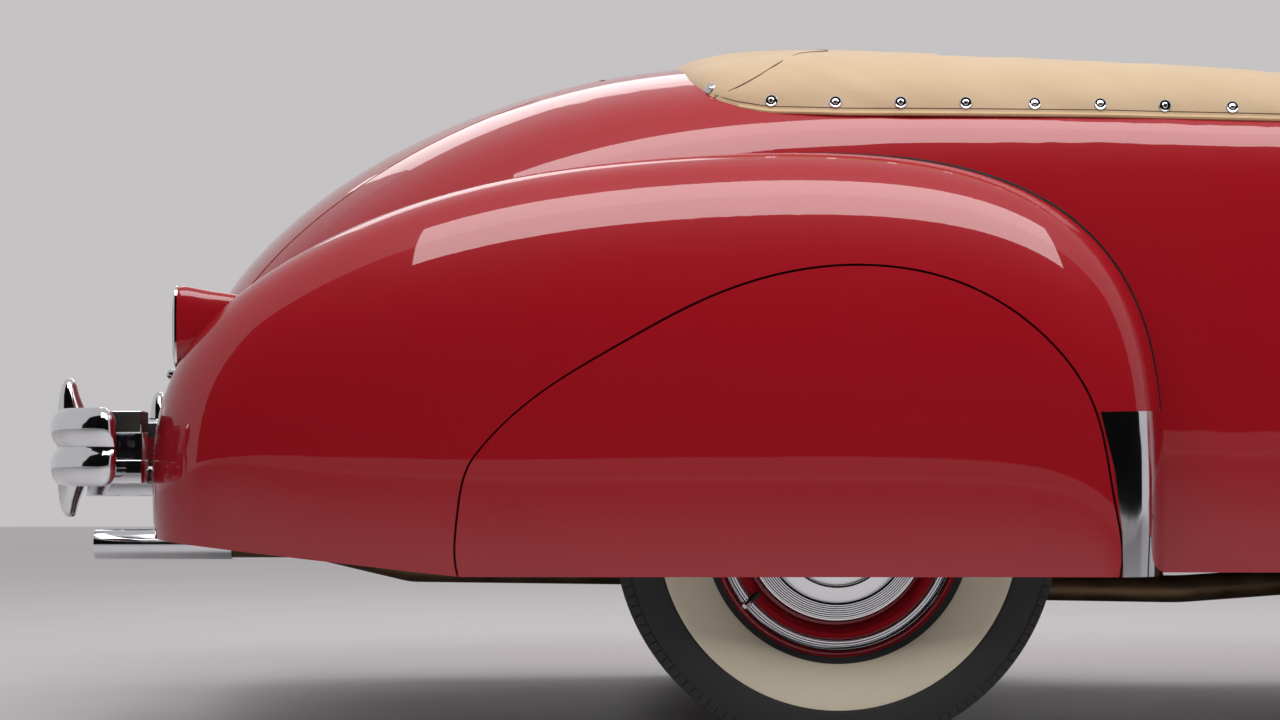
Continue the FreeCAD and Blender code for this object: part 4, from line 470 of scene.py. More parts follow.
def hull_cage() -> list[list[Vector]]:
    """Control points of the body without its fenders."""
    cage = []
    for crown_s, crown_z, edge_s, half, belt, belt_width in HULL_ROWS:
        rise = crown_z - CAGE_FLOOR
        belt_y = half * belt_width
        over = 1.0 - belt
        section = ((half - 30.0, 0.0), (half - 4.0, 0.33 * belt), (half, 0.62 * belt),
                   (half - 0.3 * (half - belt_y), 0.87 * belt), (belt_y, belt),
                   (0.80 * belt_y, belt + 0.62 * over), (0.42 * belt_y, belt + 0.96 * over), (0.0, 1.0))
        cage.append(mirrored_row([at(edge_s + (crown_s - edge_s) * fan, y, CAGE_FLOOR + rise * share)
                                  for (y, share), fan in zip(section, HULL_FAN)]))
    return cage


def fender_cage(rows: Sequence[Sequence[float]], side: Side) -> list[list[Vector]]:
    """Control points of a fender on one side."""
    cage = []
    for crown_s, crown_z, edge_s, outer, crown_y, inner, shoulder in rows:
        rise = crown_z - CAGE_FLOOR
        reach = outer - crown_y
        fall = crown_y - inner
        section = ((outer - 22.0, 0.0), (outer - 4.0, 0.30), (outer, 0.56), (outer - 0.06 * reach, 0.79),
                   (outer - 0.34 * reach, 0.96), (crown_y, 1.0), (crown_y - 0.42 * fall, shoulder),
                   (crown_y - 0.80 * fall, 0.82 * shoulder), (inner, 0.45 * shoulder), (inner, 0.0))
        cage.append([at(edge_s + (crown_s - edge_s) * fan, side.value * y, CAGE_FLOOR + rise * share)
                     for (y, share), fan in zip(section, FENDER_FAN)])
    return cage


def boot_cage() -> list[list[Vector]]:
    """Control points of the boot over the folded top."""
    cage = []
    for crown_s, crown_z, edge_s, half in BOOT_ROWS:
        rise = crown_z - BOOT_FLOOR
        section = ((half, 0.0), (half, 0.25), (half - 6.0, 0.42), (half - 40.0, 0.60), (half - 120.0, 0.73),
                   (430.0, 0.86), (200.0, 0.97), (0.0, 1.0))
        cage.append(mirrored_row([at(edge_s + (crown_s - edge_s) * fan, y, BOOT_FLOOR + rise * share)
                                  for (y, share), fan in zip(section, HULL_FAN)]))
    return cage


class Skin:
    """The limit surface of a control cage, kept as a fine mesh to lay panels on."""

    LEVELS = 4

    def __init__(self, cage: list[list[Vector]]) -> None:
        """Subdivides the cage and keeps its points, normals and search tree."""
        bm = bmesh.new()
        bmesh.ops.create_grid(bm, x_segments=len(cage) - 1, y_segments=len(cage[0]) - 1, size=1.0)
        bm.verts.ensure_lookup_table()
        ordered = sorted(bm.verts, key=lambda vert: (round(vert.co.x, 5), round(vert.co.y, 5)))
        for vert, point in zip(ordered, [point for row in cage for point in row]):
            vert.co = point
        mesh = bpy.data.meshes.new("cage")
        bm.to_mesh(mesh)
        bm.free()
        holder = new_object("cage", mesh)
        smooth = holder.modifiers.new("limit", "SUBSURF")
        smooth.levels = self.LEVELS
        smooth.render_levels = self.LEVELS
        smooth.quality = 5
        smooth.boundary_smooth = "PRESERVE_CORNERS"
        graph = bpy.context.evaluated_depsgraph_get()
        fine = holder.evaluated_get(graph).to_mesh()
        self.points = [vert.co.copy() for vert in fine.vertices]
        self.faces = [tuple(face.vertices) for face in fine.polygons]
        self.normals = [vert.normal.copy() for vert in fine.vertices]
        holder.evaluated_get(graph).to_mesh_clear()
        bpy.data.objects.remove(holder)
        bpy.data.meshes.remove(mesh)
        self.tree = BVHTree.FromPolygons(self.points, self.faces)
        if self.normal_at(self.points[len(self.points) // 2]).dot(Vector((0, 0, 1))) < 0.0:
            self.normals = [-normal for normal in self.normals]

    def nearest(self, point: Vector) -> tuple[Vector, Vector, float]:
        """The nearest point of the surface, with its smooth normal and distance."""
        place, _, index, distance = self.tree.find_nearest(point)
        corners = self.faces[index]
        weights = poly_3d_calc([self.points[corner] for corner in corners], place)
        normal = Vector((0.0, 0.0, 0.0))
        for corner, weight in zip(corners, weights):
            normal += self.normals[corner] * weight
        return place, normal.normalized(), distance

    def normal_at(self, point: Vector) -> Vector:
        """The smooth normal at the nearest point of the surface."""
        return self.nearest(point)[1]


@dataclass
class Panel:
    """A painted panel: its CAD node's copy, cut finer and laid on the skin it was cut from."""

    node: str
    body: str
    skins: Sequence[Skin]
    finish: Finish = ENAMEL
    inner: Finish = CHASSIS
    pitch: float = 0.07
    reach: float = 0.0011

    def build(self) -> bpy.types.Object:
        """Makes the panel, in place of its CAD node.

        Returns:
            The panel's object.
        """
        bm = bmesh.new()
        bm.from_mesh(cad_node(self.node).data)
        bmesh.ops.remove_doubles(bm, verts=bm.verts, dist=2e-5)
        self.slice(bm)
        bmesh.ops.triangulate(bm, faces=[face for face in bm.faces if len(face.verts) > 4])
        bm.normal_update()
        placed = self.lay(bm)
        name = "panel_" + self.node
        mesh = bpy.data.meshes.new(name)
        bm.verts.index_update()
        self.line(bm)
        normals = self.corner_normals(bm, placed)
        bm.to_mesh(mesh)
        bm.free()
        mesh.polygons.foreach_set("use_smooth", [True] * len(mesh.polygons))
        mesh.set_sharp_from_angle(angle=math.radians(30.0))
        if normals:
            mesh.normals_split_custom_set(normals)
        mesh.materials.append(self.finish.material())
        mesh.materials.append(self.inner.material())
        piece = new_object(name, mesh)
        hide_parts(self.node)
        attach(piece, self.body)
        LOG.info("%s: %d faces", name, len(mesh.polygons))
        return piece

    def line(self, bm: bmesh.types.BMesh) -> None:
        """Gives the faces that look away from the skin, behind it, the inner finish."""
        bm.normal_update()
        for face in bm.faces:
            _, normal, distance = self.skins[0].nearest(face.calc_center_median())
            face.material_index = int(distance > self.reach * 2.0 and face.normal.dot(normal) < 0.3)

    def on_skin(self, face: bmesh.types.BMFace) -> bool:
        """Whether a face belongs to the panel's outer surface."""
        for skin in self.skins:
            hits = [skin.nearest(vert.co) for vert in face.verts]
            if max(hit[2] for hit in hits) < self.reach and face.normal.dot(hits[0][1]) > 0.8:
                return True
        return False

    def slice(self, bm: bmesh.types.BMesh) -> None:
        """Cuts the outer faces along evenly spaced planes."""
        low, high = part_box(self.node)
        outer = {face for face in bm.faces if self.on_skin(face)}
        for axis in range(3):
            count = int((high[axis] - low[axis]) / self.pitch)
            normal = Vector([1.0 if i == axis else 0.0 for i in range(3)])
            for step in range(1, count + 1):
                place = Vector([0.0, 0.0, 0.0])
                place[axis] = low[axis] + (high[axis] - low[axis]) * step / (count + 1)
                near = [face for face in outer if face.is_valid
                        and min(vert.co[axis] for vert in face.verts) < place[axis]
                        < max(vert.co[axis] for vert in face.verts)]
                if not near:
                    continue
                geom = set(near)
                for face in near:
                    geom.update(face.edges)
                    geom.update(face.verts)
                cut = bmesh.ops.bisect_plane(bm, geom=list(geom), dist=1e-6, plane_co=place, plane_no=normal)
                outer = {face for face in outer if face.is_valid}
                outer.update(item for item in cut["geom"] if isinstance(item, bmesh.types.BMFace))

    def lay(self, bm: bmesh.types.BMesh) -> dict:
        """Moves the outer faces' corners onto the skin and notes the smooth normals there."""
        placed = {}
        for vert in bm.verts:
            for index, skin in enumerate(self.skins):
                place, normal, distance = skin.nearest(vert.co)
                if distance < self.reach:
                    placed[vert.index, index] = normal
                    if not any((vert.index, other) in placed for other in range(index)):
                        vert.co = place
        return placed

    def corner_normals(self, bm: bmesh.types.BMesh, placed: dict) -> list[Vector]:
        """The skin's normals for corners of outer faces, and none for the rest.

        Args:
            bm: the panel.
            placed: normals by corner and skin.

        Returns:
            One vector for each corner of each face; a zero vector leaves the corner as it is.
        """
        normals = []
        for face in bm.faces:
            for index in range(len(self.skins)):
                found = [placed.get((vert.index, index)) for vert in face.verts]
                if all(normal is not None and face.normal.dot(normal) > 0.8 for normal in found):
                    break
            else:
                found = [Vector((0.0, 0.0, 0.0))] * len(face.verts)
            normals += found
        return normals


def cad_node(name: str) -> bpy.types.Object:
    """The object of a CAD node."""
    return frame["nodes"][name]


def body_of(node: str) -> str:
    """The body that a CAD node belongs to."""
    for body, nodes in frame["record"]["behaviour"]["bodies"].items():
        if node in nodes:
            return body
    raise KeyError(node)


class Canvas(Panel):
    """The boot's cloth: its node's copy laid on the boot's skin, with soft puckers."""

    PUCKER = 0.0035

    def lay(self, bm: bmesh.types.BMesh) -> dict:
        """Lays the outer faces and lifts them in puckers; the cloth keeps no smooth normals of its own."""
        placed = super().lay(bm)
        bm.verts.ensure_lookup_table()
        for index, normal in {key[0]: value for key, value in placed.items()}.items():
            vert = bm.verts[index]
            pull = noise.noise(Vector((vert.co.x * 5.0, vert.co.y * 9.0, vert.co.z * 14.0)))
            crease = noise.noise(Vector((vert.co.x * 17.0 + vert.co.z * 30.0, vert.co.y * 6.0, 3.0)))
            vert.co += normal * (self.PUCKER * (pull + 0.5 * crease) - 0.002)
        return placed

    def corner_normals(self, bm: bmesh.types.BMesh, placed: dict) -> list[Vector]:
        """No corner keeps a set normal."""
        return []

    def line(self, bm: bmesh.types.BMesh) -> None:
        """The whole cloth has one finish."""


@dataclass
class Boot:
    """The boot over the folded top, with its bound hem, seams and snap fasteners."""

    hem: Sequence[tuple[float, float]] = (
        (-290.0, 1200.0), (-228.0, 1148.0), (-170.0, 1122.0), (-109.0, 1109.0), (30.0, 1103.0),
        (478.0, 1098.0), (772.0, 1091.0), (980.0, 1088.0))
    snaps: Sequence[float] = (-208.0, -103.0, 8.0, 121.0, 234.0, 354.0, 468.0, 581.0, 698.0, 812.0, 925.0)
    seam: Sequence[tuple[float, float]] = ((-202.0, 1142.0), (-162.0, 1158.0), (-122.0, 1180.0),
                                           (-82.0, 1208.0), (-40.0, 1236.0), (10.0, 1246.0))
    snap_rise: float = 22.0

    def build(self) -> None:
        """Makes the cloth and what is sewn to it."""
        cloth = Canvas("top_boot", "body", [Skin(boot_cage())], finish=CANVAS, pitch=0.02,
                       reach=0.0016).build()
        mesh = cloth.data
        self.tree = BVHTree.FromPolygons([vert.co for vert in mesh.vertices],
                                         [tuple(face.vertices) for face in mesh.polygons])
        trim = Shape("boot_trim", [BINDING, THREAD, CHROME])
        for side in Side:
            self.hemline(trim, side)
            self.fasteners(trim, side)
        self.seams(trim)
        piece = trim.done()
        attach(piece, "body")

    def touch(self, s: float, z: float, side: Side) -> Optional[tuple[Vector, Vector]]:
        """Where the cloth is met from the side at a station and height, with the way outwards there."""
        start = at(s, side.value * 1200.0, z)
        place, normal, _, _ = self.tree.ray_cast(start, Vector((0.0, -side.value, 0.0)))
        if place is None or abs(place.y) < 0.35:
            return None
        return place, normal if normal.y * side.value > 0.0 else -normal

    def height(self, s: float) -> float:
        """The hem's height at a station."""
        for (s0, z0), (s1, z1) in zip(self.hem, self.hem[1:]):
            if s <= s1:
                return z0 + (z1 - z0) * (s - s0) / (s1 - s0)
        return self.hem[-1][1]

    def hemline(self, trim: Shape, side: Side) -> None:
        """Runs the bound edge and its stitches along the side."""
        for rise, radius, finish, sunk in ((3.0, 4.2, BINDING, 1.0), (12.0, 0.9, THREAD, 0.2)):
            line = []
            for step in range(62):
                s = -282.0 + step * 20.4
                hit = self.touch(s, self.height(s) + rise, side)
                if hit:
                    line.append(hit[0] - hit[1] * (sunk * MM))
            trim.loft(tube_rings(smooth_line(line, 3), radius, 8), finish)

    def fasteners(self, trim: Shape, side: Side) -> None:
        """Puts the snap fasteners in their row."""
        section = ((0.0, 4.2), (3.0, 4.0), (4.2, 2.6), (6.0, 2.0), (9.5, 2.6), (11.0, 1.4), (11.2, -3.0),
                   (0.0, -3.0))
        for s in self.snaps:
            hit = self.touch(s, self.height(s) + self.snap_rise, side)
            if hit:
                trim.turned(section, hit[0], hit[1], 20, CHROME)
        for s, z in ((-268.0, 1218.0), (-262.0, 1192.0)):
            hit = self.touch(s, z, side)
            if hit:
                trim.turned([(radius * 0.45, along * 0.6) for radius, along in section], hit[0], hit[1], 14,
                            CHROME)

    def seams(self, trim: Shape) -> None:
        """Runs the cross seam from hem to hem over the top."""
        sides = []
        for side in Side:
            hits = [self.touch(s, z, side) for s, z in self.seam]
            sides.append([hit[0] for hit in hits if hit])
        over = []
        edge = sides[0][-1]
        for step in range(1, 24):
            y = edge.y * (1.0 - 2.0 * step / 24.0)
            place, _, _, _ = self.tree.ray_cast(Vector((edge.x, y, 1.6)), Vector((0.0, 0.0, -1.0)))
            if place:
                over.append(place)
        line = sides[0] + over + sides[1][::-1]
        trim.loft(tube_rings(smooth_line(line, 3), 1.3, 8), THREAD)


@dataclass
class Welting:
    """The black bead in the seam between a rear fender and the body."""

    side: Side
    fender: Skin
    hull: Skin
    radius: float = 5.2
    start_s: float = -560.0

    def build(self) -> None:
        """Finds the seam on the fender's own edge and lays the bead in it."""
        seen = {}
        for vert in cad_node("rear_fender_" + self.side.word).data.vertices:
            point = vert.co
            if point.x < REAR_AXLE_X + self.start_s * MM and point.z < 1.1:
                continue
            place, normal, distance = self.hull.nearest(point)
            if distance < 0.0009 and self.fender.nearest(point)[2] < 0.0009:
                turn = math.atan2(point.z - 0.45, point.x - REAR_AXLE_X - 0.05)
                if -0.45 < turn < 2.6:
                    lift = self.fender.nearest(point)[1] * 4.6 + normal * 4.0
                    seen[round(turn / 0.035)] = place + lift * MM
        line = [seen[key] for key in sorted(seen)]
        LOG.info("welting %s: %d points", self.side.word, len(line))
        bead = Shape("fender_welting_" + self.side.word, [WELTING])
        bead.loft(tube_rings(smooth_line(line, 4), self.radius, 10), WELTING)
        piece = bead.done()
        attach(piece, "body")


@dataclass
class Tyre:
    """A bias-ply tyre with a white side wall, ribbed tread and shoulder lugs."""

    node: str
    outer: Sequence[tuple[float, float]] = (
        (204.0, 55.0), (212.0, 66.0), (221.0, 72.0), (227.0, 77.0), (236.0, 81.5), (252.0, 86.5),
        (270.0, 90.0), (289.0, 91.6), (303.0, 91.8), (305.0, 91.2), (306.5, 90.2), (309.0, 91.4),
        (328.0, 88.6), (341.0, 83.6), (352.0, 77.4), (360.0, 72.8), (374.0, 63.5), (377.4, 58.0),
        (378.0, 47.0), (372.0, 46.0), (372.0, 41.5), (378.6, 40.5), (379.0, 27.0), (373.0, 26.0),
        (373.0, 21.5), (379.4, 20.5), (379.7, 7.0), (374.0, 6.0), (374.0, 2.0), (380.0, 1.0))
    white_band: tuple[float, float] = (226.0, 304.5)
    lug_band: tuple[float, float] = (360.0, 375.0)
    lug_reach: tuple[float, float] = (62.0, 73.0)

    def build(self) -> None:
        """Turns the section and raises the lugs."""
        low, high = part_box(self.node)
        centre = (low + high) / 2.0
        side = math.copysign(1.0, centre.y)
        tyre = Shape("look_" + self.node, [RUBBER, WHITE_RUBBER])
        section = list(self.outer) + [(radius, -offset) for radius, offset in reversed(self.outer)]
        section.append(section[0])
        tyre.turned(section, centre, Vector((0.0, side, 0.0)), 132, RUBBER)
        bmesh.ops.remove_doubles(tyre.bm, verts=tyre.bm.verts, dist=1e-6)
        bmesh.ops.recalc_face_normals(tyre.bm, faces=tyre.bm.faces)
        lugs = []
        for face in tyre.bm.faces:
            middle = face.calc_center_median() - centre
            radius = math.hypot(middle.x, middle.z) / MM
            offset = middle.y * side / MM
            if self.white_band[0] < radius < self.white_band[1] and offset > 0.0:
                face.material_index = 1
            on_shoulder = self.lug_reach[0] < abs(offset) < self.lug_reach[1]
            if self.lug_band[0] < radius < self.lug_band[1] and on_shoulder:
                lugs.append(face)
        bmesh.ops.inset_individual(tyre.bm, faces=lugs, thickness=0.0016, depth=0.0022)
        piece = tyre.done(28.0)
        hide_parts(self.node)
        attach(piece, body_of(self.node))


@dataclass
class Wheel:
    """A pressed-steel wheel with a ribbed trim ring and a ribbed, domed hub cap."""

    node: str
    rim: Sequence[tuple[float, float]] = (
        (207.0, 60.0), (209.0, 63.5), (214.0, 68.0), (219.0, 69.5), (222.5, 68.8), (223.0, 66.0),
        (217.0, 61.0), (209.0, 57.0), (203.0, 54.0), (203.0, -54.0), (209.0, -57.0), (222.0, -67.0),
        (219.0, -69.0), (197.0, -62.0), (183.0, -44.0), (183.0, 20.0), (150.0, 20.0), (150.0, -79.0),
        (136.0, -79.0), (136.0, 6.0), (30.0, 6.0), (30.0, -85.0), (8.0, -85.0))
    ring: Sequence[tuple[float, float]] = (
        (208.5, 59.0), (207.5, 64.0), (205.5, 66.5), (203.0, 65.5), (201.0, 62.8), (199.0, 64.2),
        (197.0, 61.6), (195.0, 62.6), (193.0, 59.8), (191.0, 60.6), (189.0, 57.8), (186.5, 57.5),
        (184.0, 53.5), (184.0, 48.0))
    band: Sequence[tuple[float, float]] = (
        (186.0, 48.0), (184.5, 55.0), (182.0, 57.5), (176.0, 57.0), (170.0, 53.0), (166.0, 45.0),
        (163.0, 36.0), (152.0, 34.0))
    cap_rim: Sequence[tuple[float, float]] = ((150.0, 34.0), (156.0, 38.0), (158.0, 46.0), (157.0, 53.0),
                                              (154.0, 57.0))
    cap_dome: Sequence[tuple[float, float]] = (
        (127.0, 65.0), (122.0, 64.4), (108.0, 66.6), (98.0, 69.2), (96.5, 71.2), (94.5, 70.6), (92.0, 73.6),
        (84.0, 79.0), (72.0, 85.6), (58.0, 90.6), (42.0, 94.8), (24.0, 97.2), (0.0, 98.0))

    valve_way: tuple[float, float, float] = (-0.777, 0.0, -0.629)

    def build(self) -> None:
        """Turns the parts of the wheel and adds its valve."""
        low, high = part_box(self.node)
        centre = Vector(((low.x + high.x) / 2.0, math.copysign(WHEEL_Y, low.y + high.y),
                         (low.z + high.z) / 2.0))
        side = math.copysign(1.0, centre.y)
        axis = Vector((0.0, side, 0.0))
        wheel = Shape("look_" + self.node, [ENAMEL, CHROME, CHASSIS])
        wheel.turned([(205.0, 50.0)] + list(self.rim), centre, axis, 96, ENAMEL)
        wheel.turned(self.ring, centre, axis, 128, CHROME)
        wheel.turned(self.band, centre, axis, 96, ENAMEL)
        ribs = []
        for step in range(7):
            radius = 151.5 - step * 3.6
            lift = 58.0 + step * 1.0
            ribs += [(radius, lift), (radius - 0.9, lift + 1.5), (radius - 2.3, lift + 1.7),
                     (radius - 3.0, lift + 0.3)]
        wheel.turned(list(self.cap_rim) + ribs + list(self.cap_dome), centre, axis, 128, CHROME)
        out = Vector(self.valve_way)
        foot = centre + out * 0.172 + axis * 0.050
        tip = centre + out * 0.196 + axis * 0.076
        wheel.rod(foot, tip, 5.0, CHASSIS)
        wheel.rod(tip, tip + (tip - foot).normalized() * 0.013, 4.2, CHROME)
        for face in wheel.bm.faces:
            middle = face.calc_center_median() - centre
            if middle.y * side < 0.020 and math.hypot(middle.x, middle.z) < 0.2:
                face.material_index = 2
        piece = wheel.done(24.0)
        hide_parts(self.node)
        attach(piece, body_of(self.node))


@dataclass
class Bumper:
    """A bumper: a two-lobed bar wrapped round the corners, with two horned guards and its brackets."""

    node: str
    face_s: float
    sign: float
    plan: Sequence[tuple[float, float]]
    guard_y: float
    section: Sequence[tuple[float, float]] = (
        (0.0, 63.0), (7.0, 66.5), (17.0, 63.0), (25.0, 52.0), (29.0, 38.0), (28.5, 24.0), (24.0, 11.0),
        (17.5, 3.0), (17.5, -3.0), (24.0, -11.0), (28.5, -24.0), (29.0, -38.0), (25.0, -52.0), (17.0, -63.0),
        (7.0, -66.5), (0.0, -63.0))
    centre_z: float = 522.0

    def build(self) -> None:
        """Makes the bumper in place of its CAD node."""
        bumper = Shape("look_" + self.node, [CHROME, CHASSIS])
        self.bar(bumper)
        for side in Side:
            self.guard(bumper, side)
            self.brackets(bumper, side)
        piece = bumper.done(40.0)
        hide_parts(self.node)
        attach(piece, "body")

    def bar(self, bumper: Shape) -> None:
        """Carries the section along the bar's plan, rounded off at both ends."""
        half = [at(s, y, self.centre_z) for y, s in self.plan]
        points = [Vector((point.x, -point.y, point.z)) for point in reversed(half[1:])] + half
        line = smooth_line(points, 6)
        rings = []
        for index, point in enumerate(line):
            ahead = (line[min(index + 1, len(line) - 1)] - line[max(index - 1, 0)]).normalized()
            out = Vector((-ahead.y, ahead.x, 0.0)) * (1.0 if self.sign < 0.0 else -1.0)
            if out.x * self.sign < 0.0 and abs(point.y) < 0.5:
                out = -out
            away = min(index, len(line) - 1 - index)
            shrink = (0.55, 0.84, 0.95, 1.0)[min(away, 3)]
            rings.append([point + out * (depth * shrink * MM)
                          + Vector((0.0, 0.0, rise * (0.4 + 0.6 * shrink) * MM))
                          for depth, rise in self.section])
        bumper.loft(rings, CHROME)

    def guard(self, bumper: Shape, side: Side) -> None:
        """Lofts a guard whose horns taper and curl away from the body."""
        stations = ((1.0, 20.0, 5.0, 9.0), (0.98, 15.0, 9.0, 14.0), (0.90, 9.0, 13.5, 20.0),
                    (0.76, 5.0, 18.0, 25.0), (0.58, 2.0, 24.0, 29.0), (0.38, 0.8, 30.0, 32.0),
                    (0.18, 0.2, 33.0, 33.0), (0.0, 0.0, 34.0, 33.0))
        levels = [(rise * 126.5, *rest) for rise, *rest in stations]
        levels += [(-rise, *rest) for rise, *rest in reversed(levels[:-1])]
        rings = []
        for rise, back, depth, width in levels:
            middle = at(self.face_s - self.sign * (back + depth), side.value * self.guard_y,
                        self.centre_z + rise)
            rings.append([middle + Vector((depth * math.cos(turn) * MM, width * math.sin(turn) * MM, 0.0))
                          for turn in (2.0 * math.pi * k / 20 for k in range(20))])
        bumper.loft(rings, CHROME)

    def brackets(self, bumper: Shape, side: Side) -> None:
        """Adds the arm to the frame and, at the rear, the channel to the fender's tail."""
        y = side.value
        if self.sign < 0.0:
            bumper.block(at(-1360.0, y * 396.0 - 18.0, 432.0), at(-1120.0, y * 396.0 + 18.0, 484.0), CHROME,
                         2.0)
            for low, high in ((459.5, 500.0), (546.0, 584.5)):
                bumper.block(at(-1293.0, y * 765.0 - 35.0, low), at(-1192.0, y * 765.0 + 35.0, high), CHROME,
                             2.0)
            bumper.block(at(-1290.0, y * 757.0 - 27.0, 498.0), at(-1194.0, y * 757.0 + 27.0, 548.0), CHASSIS)
            hole = at(-1213.0, y * 785.0, 528.0)
            bumper.rod(hole, hole + Vector((0.0, y * 0.004, 0.0)), 6.0, CHASSIS)
            return
        bumper.block(at(3701.0, y * 396.0 - 18.0, 380.0), at(4038.0, y * 396.0 + 18.0, 440.0), CHROME, 2.0)
        bumper.block(at(4012.0, y * 396.0 - 18.0, 380.0), at(4038.0, y * 396.0 + 18.0, 500.0), CHROME, 2.0)


@dataclass
class TailLamps:
    """Painted pods on the fenders' tails, each with a bright bezel and a ruby lens."""

    y: float = 722.0
    face_s: float = -1144.0

    def outline(self, s: float, low: float, high: float, half: float) -> list[list[float]]:
        """A rounded upright outline, as a ring of (s, y, z) in millimetres."""
        middle, tall = (low + high) / 2.0, (high - low) / 2.0
        ring = []
        for k in range(28):
            turn = 2.0 * math.pi * k / 28
            across, up = math.cos(turn), math.sin(turn)
            ring.append([s, math.copysign(abs(across) ** 0.6, across) * half,
                         middle + math.copysign(abs(up) ** 0.6, up) * tall])
        return ring

    def build(self) -> None:
        """Lofts both pods with their bezels, lenses and the small lamps under them."""
        lamps = Shape("look_tail_lamps", [ENAMEL, CHROME, RUBY])
        for side in Side:
            def ring(s: float, low: float, high: float, half: float) -> list[Vector]:
                """The outline on this side of the car."""
                return [at(point[0], side.value * self.y + point[1], point[2])
                        for point in self.outline(s, low, high, half)]
            face = self.face_s
            lamps.loft([ring(face + 3.0, 660.0, 803.0, 33.0), ring(face + 20.0, 664.0, 804.0, 34.0),
                        ring(face + 60.0, 676.0, 796.0, 33.0), ring(face + 110.0, 700.0, 788.0, 28.0),
                        ring(face + 160.0, 730.0, 782.0, 18.0)], ENAMEL)
            lamps.loft([ring(face + 5.0, 657.5, 804.5, 35.0), ring(face + 1.0, 657.5, 804.5, 35.0),
                        ring(face - 1.5, 661.0, 801.0, 32.0), ring(face - 1.0, 667.0, 795.0, 27.0)], CHROME)
            lamps.loft([ring(face + 1.0, 668.0, 794.0, 26.0), ring(face - 3.0, 670.0, 792.0, 24.5),
                        ring(face - 5.5, 682.0, 780.0, 17.0)], RUBY)
            knob = at(-1146.0, side.value * self.y, 648.0)
            lamps.turned(((0.0, 16.0), (5.0, 15.0), (8.5, 11.0), (9.5, 6.0), (11.0, 2.0), (11.0, -18.0),
                          (0.0, -18.0)),
                         knob, Vector((-1.0, 0.0, 0.25)), 20, CHROME)
        piece = lamps.done(40.0)
        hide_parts("tail_lamps")
        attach(piece, "body")


@dataclass
class HeadLamps:
    """Round lamps in the front fenders: bright rims, domed glasses and silvered bowls."""

    y: float = 652.0
    z: float = 742.0
    face_s: float = 3925.0
    radius: float = 96.0

    def build(self) -> None:
        """Turns the bowls and rims and the glasses."""
        shells = Shape("headlamp_shells", [CHROME])
        glasses = Shape("headlamp_glasses", [GLASS])
        axis = Vector((1.0, 0.0, 0.0))
        for side in Side:
            centre = at(self.face_s, side.value * self.y, self.z)
            shells.turned(((0.0, -118.0), (60.0, -116.0), (95.0, -60.0), (96.0, -2.0), (99.0, 2.0),
                           (99.5, 6.0), (96.0, 10.0), (88.0, 11.5), (85.0, 9.0), (84.0, 3.0), (78.0, -14.0),
                           (58.0, -42.0), (30.0, -58.0), (0.0, -62.0)), centre, axis, 64, CHROME)
            glasses.turned(((0.0, 21.0), (30.0, 19.0), (60.0, 13.5), (84.5, 6.0), (84.5, 3.0), (60.0, 10.5),
                            (30.0, 16.0), (0.0, 18.0)), centre, axis, 64, GLASS)
        for shape, slot in ((shells, "chrome_trim"), (glasses, "lamp_glass")):
            piece = shape.done(40.0)
            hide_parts("headlamps")
            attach(piece, "body")


@dataclass
class Pad:
    """A stuffed bench pad: a swollen block with sewn channels across its face."""

    name: str
    low: tuple[float, float, float]
    high: tuple[float, float, float]
    face_axis: int
    tilt: float = 0.0
    channel: float = 92.0
    depth: float = 9.0
    fill: float = 0.8

    def build(self) -> bpy.types.Object:
        """Shapes the pad from a finely cut cube."""
        bm = bmesh.new()
        bmesh.ops.create_cube(bm, size=2.0)
        for axis, cuts in ((1, 140), (0, 14), (2, 12)):
            edges = [edge for edge in bm.edges if abs((edge.verts[0].co - edge.verts[1].co)[axis]) > 1e-4]
            bmesh.ops.subdivide_edges(bm, edges=edges, cuts=cuts, use_grid_fill=True)
        middle = (at(*self.low) + at(*self.high)) / 2.0
        half = (at(*self.high) - at(*self.low)) / 2.0
        count = round((self.high[1] - self.low[1]) / self.channel)
        for vert in bm.verts:
            unit = vert.co.copy()
            spread = abs(unit.x) ** 7 + abs(unit.y) ** 16 + abs(unit.z) ** 7
            swell = spread ** (-1.0 / 7.0)
            round_y = spread ** (-1.0 / 16.0)
            shaped = Vector((unit.x * min(swell, 1.0), unit.y * min(round_y, 1.0), unit.z * min(swell, 1.0)))
            groove = (1.0 - abs(math.sin(math.pi * (unit.y + 1.0) / 2.0 * count))) ** 4
            top = max(unit[self.face_axis], 0.0) ** 3
            edge = 1.0 - unit.y ** 8
            shaped[self.face_axis] -= top * self.depth * MM / half[self.face_axis] * groove * edge
            vert.co = middle + Vector((shaped.x * half.x, shaped.y * half.y, shaped.z * half.z))
            vert.co.x += self.tilt * unit.z
        piece = finish_mesh(self.name, bm, [LEATHER.material()], 60.0)
        return piece


@dataclass
class Bench:
    """A bench seat of a cushion and a back on a low base."""

    node: str
    cushion: tuple[tuple[float, float, float], tuple[float, float, float]]
    back: tuple[tuple[float, float, float], tuple[float, float, float]]
    base: tuple[tuple[float, float, float], tuple[float, float, float]]

    def build(self) -> None:
        """Makes both pads and the base in place of the CAD node."""
        base = Shape(self.node + "_base", [CHASSIS])
        base.block(at(*self.base[0]), at(*self.base[1]), CHASSIS, 6.0)
        pieces = [base.done(),
                  Pad(self.node + "_cushion", *self.cushion, face_axis=2).build(),
                  Pad(self.node + "_back", *self.back, face_axis=0, channel=92.0).build()]
        for piece in pieces:
            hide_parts(self.node)
            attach(piece, "body")


